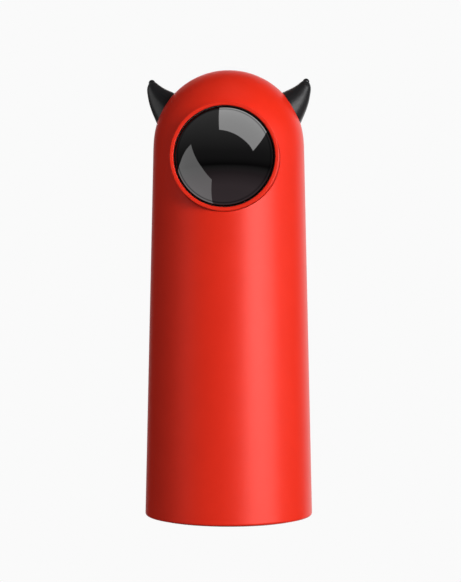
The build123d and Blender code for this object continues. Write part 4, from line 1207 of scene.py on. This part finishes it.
@dataclass
class Studio:
    """Pale floor, a room that is pale to the camera, gloss panels, two surrounds, lamps and the camera."""

    eye: Triple = (0.0, -0.030, 0.158)
    camera_at: Triple = (0.0357, -0.6390, 0.0931)
    lens: float = 87.7
    film: float = 36.0
    shift: tuple[float, float] = (0.0030, 0.0308)
    pale: float = 0.956
    floor_half: float = 4.0
    boxes: tuple[SoftBox, ...] = (
        SoftBox("key_panel", (
            (-0.149, -0.04, 0.988), (-0.159, -0.674, 0.722), (-0.052, -0.699, 0.714), (0.07, -0.72, 0.69),
            (0.236, -0.739, 0.631), (0.366, -0.744, 0.559), (0.495, -0.735, 0.463), (0.622, -0.708, 0.335),
            (0.703, -0.678, 0.20), (0.806, -0.10, 0.575), (1.0, 0.5, 0.75), (-0.08, 0.5, 1.03),
        ), (0.763, -0.315, 0.564), 0.9, 5.1, ("window_dome",)),
        SoftBox("fill_panel", (
            (-0.812, -0.462, 0.356), (-0.796, -0.574, 0.193), (-0.721, -0.692, -0.041),
            (-0.608, -0.756, -0.243), (-0.482, -0.767, -0.423), (-0.362, -0.749, -0.554),
            (-0.28, -0.02, -0.96), (-0.8, 0.35, -0.5), (-0.983, -0.061, -0.176),
            (-0.979, -0.203, -0.03), (-0.951, -0.292, 0.107), (-0.898, -0.372, 0.233),
        ), (-0.768, -0.4, -0.498), 0.9, 2.35, ("window_dome",)),
        SoftBox("side_panel", (
            (0.454, -0.891, 0.3), (0.951, -0.309, 0.3), (0.951, -0.309, -0.38), (0.454, -0.891, -0.38),
        ), (0.8, -0.6, 0.0), 1.5, 3.4, ("shell_cover", "bezel_ring")),
        SoftBox("right_horn_panel", (
            (0.12, -0.99, 0.5), (0.94, -0.34, 0.5), (0.94, -0.34, -0.5), (0.12, -0.99, -0.5),
        ), (0.66, -0.75, 0.0), 1.5, 3.7, ("soft_horn_right",)),
        SoftBox("left_horn_panel", (
            (-0.98, 0.2, 0.5), (-0.78, -0.62, 0.5), (-0.78, -0.62, -0.5), (-0.98, 0.2, -0.5),
        ), (-0.97, -0.2, 0.0), 1.5, 0.8, ("soft_horn_left",)),
    )
    lamps: tuple[Lamp, ...] = (
        Lamp("key_lamp", 42.0, 10.0, 23.4),
        Lamp("side_lamp", 97.0, 5.0, 2.6),
        Lamp("left_lamp", -60.0, 0.0, 1.7),
        Lamp("top_lamp", 40.0, 78.0, 1.8),
        Lamp("back_lamp", 190.0, 25.0, 24.0),
    )
    dark: float = 0.01
    glow: float = 1.2
    glow_from: float = 0.7
    glow_way: Triple = (0.2, 0.98, 0.0)
    surrounds: tuple[Surround, ...] = (
        Surround("shade_room", 3.2, ((0.0, 0.235, 0.0), (1.0, 0.235, 0.0)), 2 * np.pi, False),
        Surround("lens_room", 3.0, (
            (0.0, 0.68, 0.25), (0.155, 0.68, 0.25), (0.265, 0.44, 0.25), (0.305, 0.32, 0.25),
            (0.345, 0.26, 0.15), (0.385, 0.15, 0.0), (0.415, 0.02, 0.0), (0.44, 0.05, 0.0),
            (0.50, 0.11, 0.0), (0.595, 0.15, 0.0), (0.75, 0.30, 0.0), (1.0, 0.56, 0.0),
        ), np.pi, True, ("window_dome",)),
    )

    def floor(self) -> None:
        """Flat pale floor that only the camera sees: it neither lights the toy nor takes its shadow."""
        h = self.floor_half
        mesh = bpy.data.meshes.new("studio_floor")
        mesh.from_pydata([(-h, -h, 0), (h, -h, 0), (h, h, 0), (-h, h, 0)], [], [(0, 1, 2, 3)])
        plane = new_object("studio_floor", mesh)
        material = bpy.data.materials.new("studio_floor")
        material.use_nodes = True
        shader = material.node_tree.nodes["Principled BSDF"]
        values = {
            "Base Color": (0.0, 0.0, 0.0, 1.0), "Specular IOR Level": 0.0, "Roughness": 1.0,
            "Emission Color": (self.pale, self.pale, self.pale, 1.0), "Emission Strength": 1.0,
        }
        for socket, value in values.items():
            shader.inputs[socket].default_value = value
        mesh.materials.append(material)
        plane.visible_shadow = plane.visible_glossy = plane.visible_diffuse = False

    def room(self) -> None:
        """World: black for shading, pale to the camera, and for gloss dark but for a glow behind."""
        world = bpy.data.worlds.new("studio_room")
        bpy.context.scene.world = world
        world.use_nodes = True
        tree = world.node_tree
        tree.nodes.clear()
        way = new_node(tree, "TexCoord").outputs["Generated"]
        toward = new_node(tree, "VectorMath")
        toward.operation = "DOT_PRODUCT"
        toward.inputs[1].default_value = self.glow_way
        tree.links.new(way, toward.inputs[0])
        limits = {"From Min": self.glow_from, "From Max": 1.0, "To Min": self.dark, "To Max": self.glow}
        glow = new_node(tree, "MapRange", limits)
        tree.links.new(toward.outputs["Value"], glow.inputs["Value"])
        ray = new_node(tree, "LightPath")
        light = new_node(tree, "Background", {"Color": (1.0, 1.0, 1.0, 1.0)})
        tree.links.new(glow.outputs["Result"], light.inputs["Strength"])
        last = light.outputs["Background"]
        for kind, grey in (("Is Diffuse Ray", 0.0), ("Is Camera Ray", self.pale)):
            even = new_node(tree, "Background", {"Color": (grey, grey, grey, 1.0)})
            join = new_node(tree, "MixShader")
            tree.links.new(ray.outputs[kind], join.inputs["Fac"])
            tree.links.new(last, join.inputs[1])
            tree.links.new(even.outputs["Background"], join.inputs[2])
            last = join.outputs["Shader"]
        tree.links.new(last, new_node(tree, "OutputWorld").inputs["Surface"])

    def camera(self) -> None:
        """Level camera that looks at the toy's axis."""
        data = bpy.data.cameras.new("camera")
        data.lens = self.lens
        data.sensor_width = self.film
        data.shift_x, data.shift_y = self.shift
        camera = new_object("camera", data)
        x, y, _ = self.camera_at
        camera.location = self.camera_at
        camera.rotation_euler = (radians(90), 0, atan2(x, -y))
        bpy.context.scene.camera = camera

    def dress(self) -> None:
        """Builds the studio."""
        bpy.context.scene.view_settings.view_transform = "Standard"
        self.floor()
        self.room()
        for light in (*self.surrounds, *self.boxes, *self.lamps):
            light.build(np.array(self.eye))
        self.camera()


def main() -> None:
    """Builds every sub-assembly in order."""
    logging.basicConfig(level=logging.INFO, format="%(name)s %(message)s")
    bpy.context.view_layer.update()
    dress_nodes(frame["nodes"])
    shell = Shell()
    shell.dress()
    Window().dress()
    for side in (-1, 1):
        Horn(side, shell.dome_z, shell.dome).dress()
    PowerButton().dress()
    LightPipe().dress()
    Studio().dress()
    bpy.context.view_layer.update()


if __name__ == "__main__":
    main()
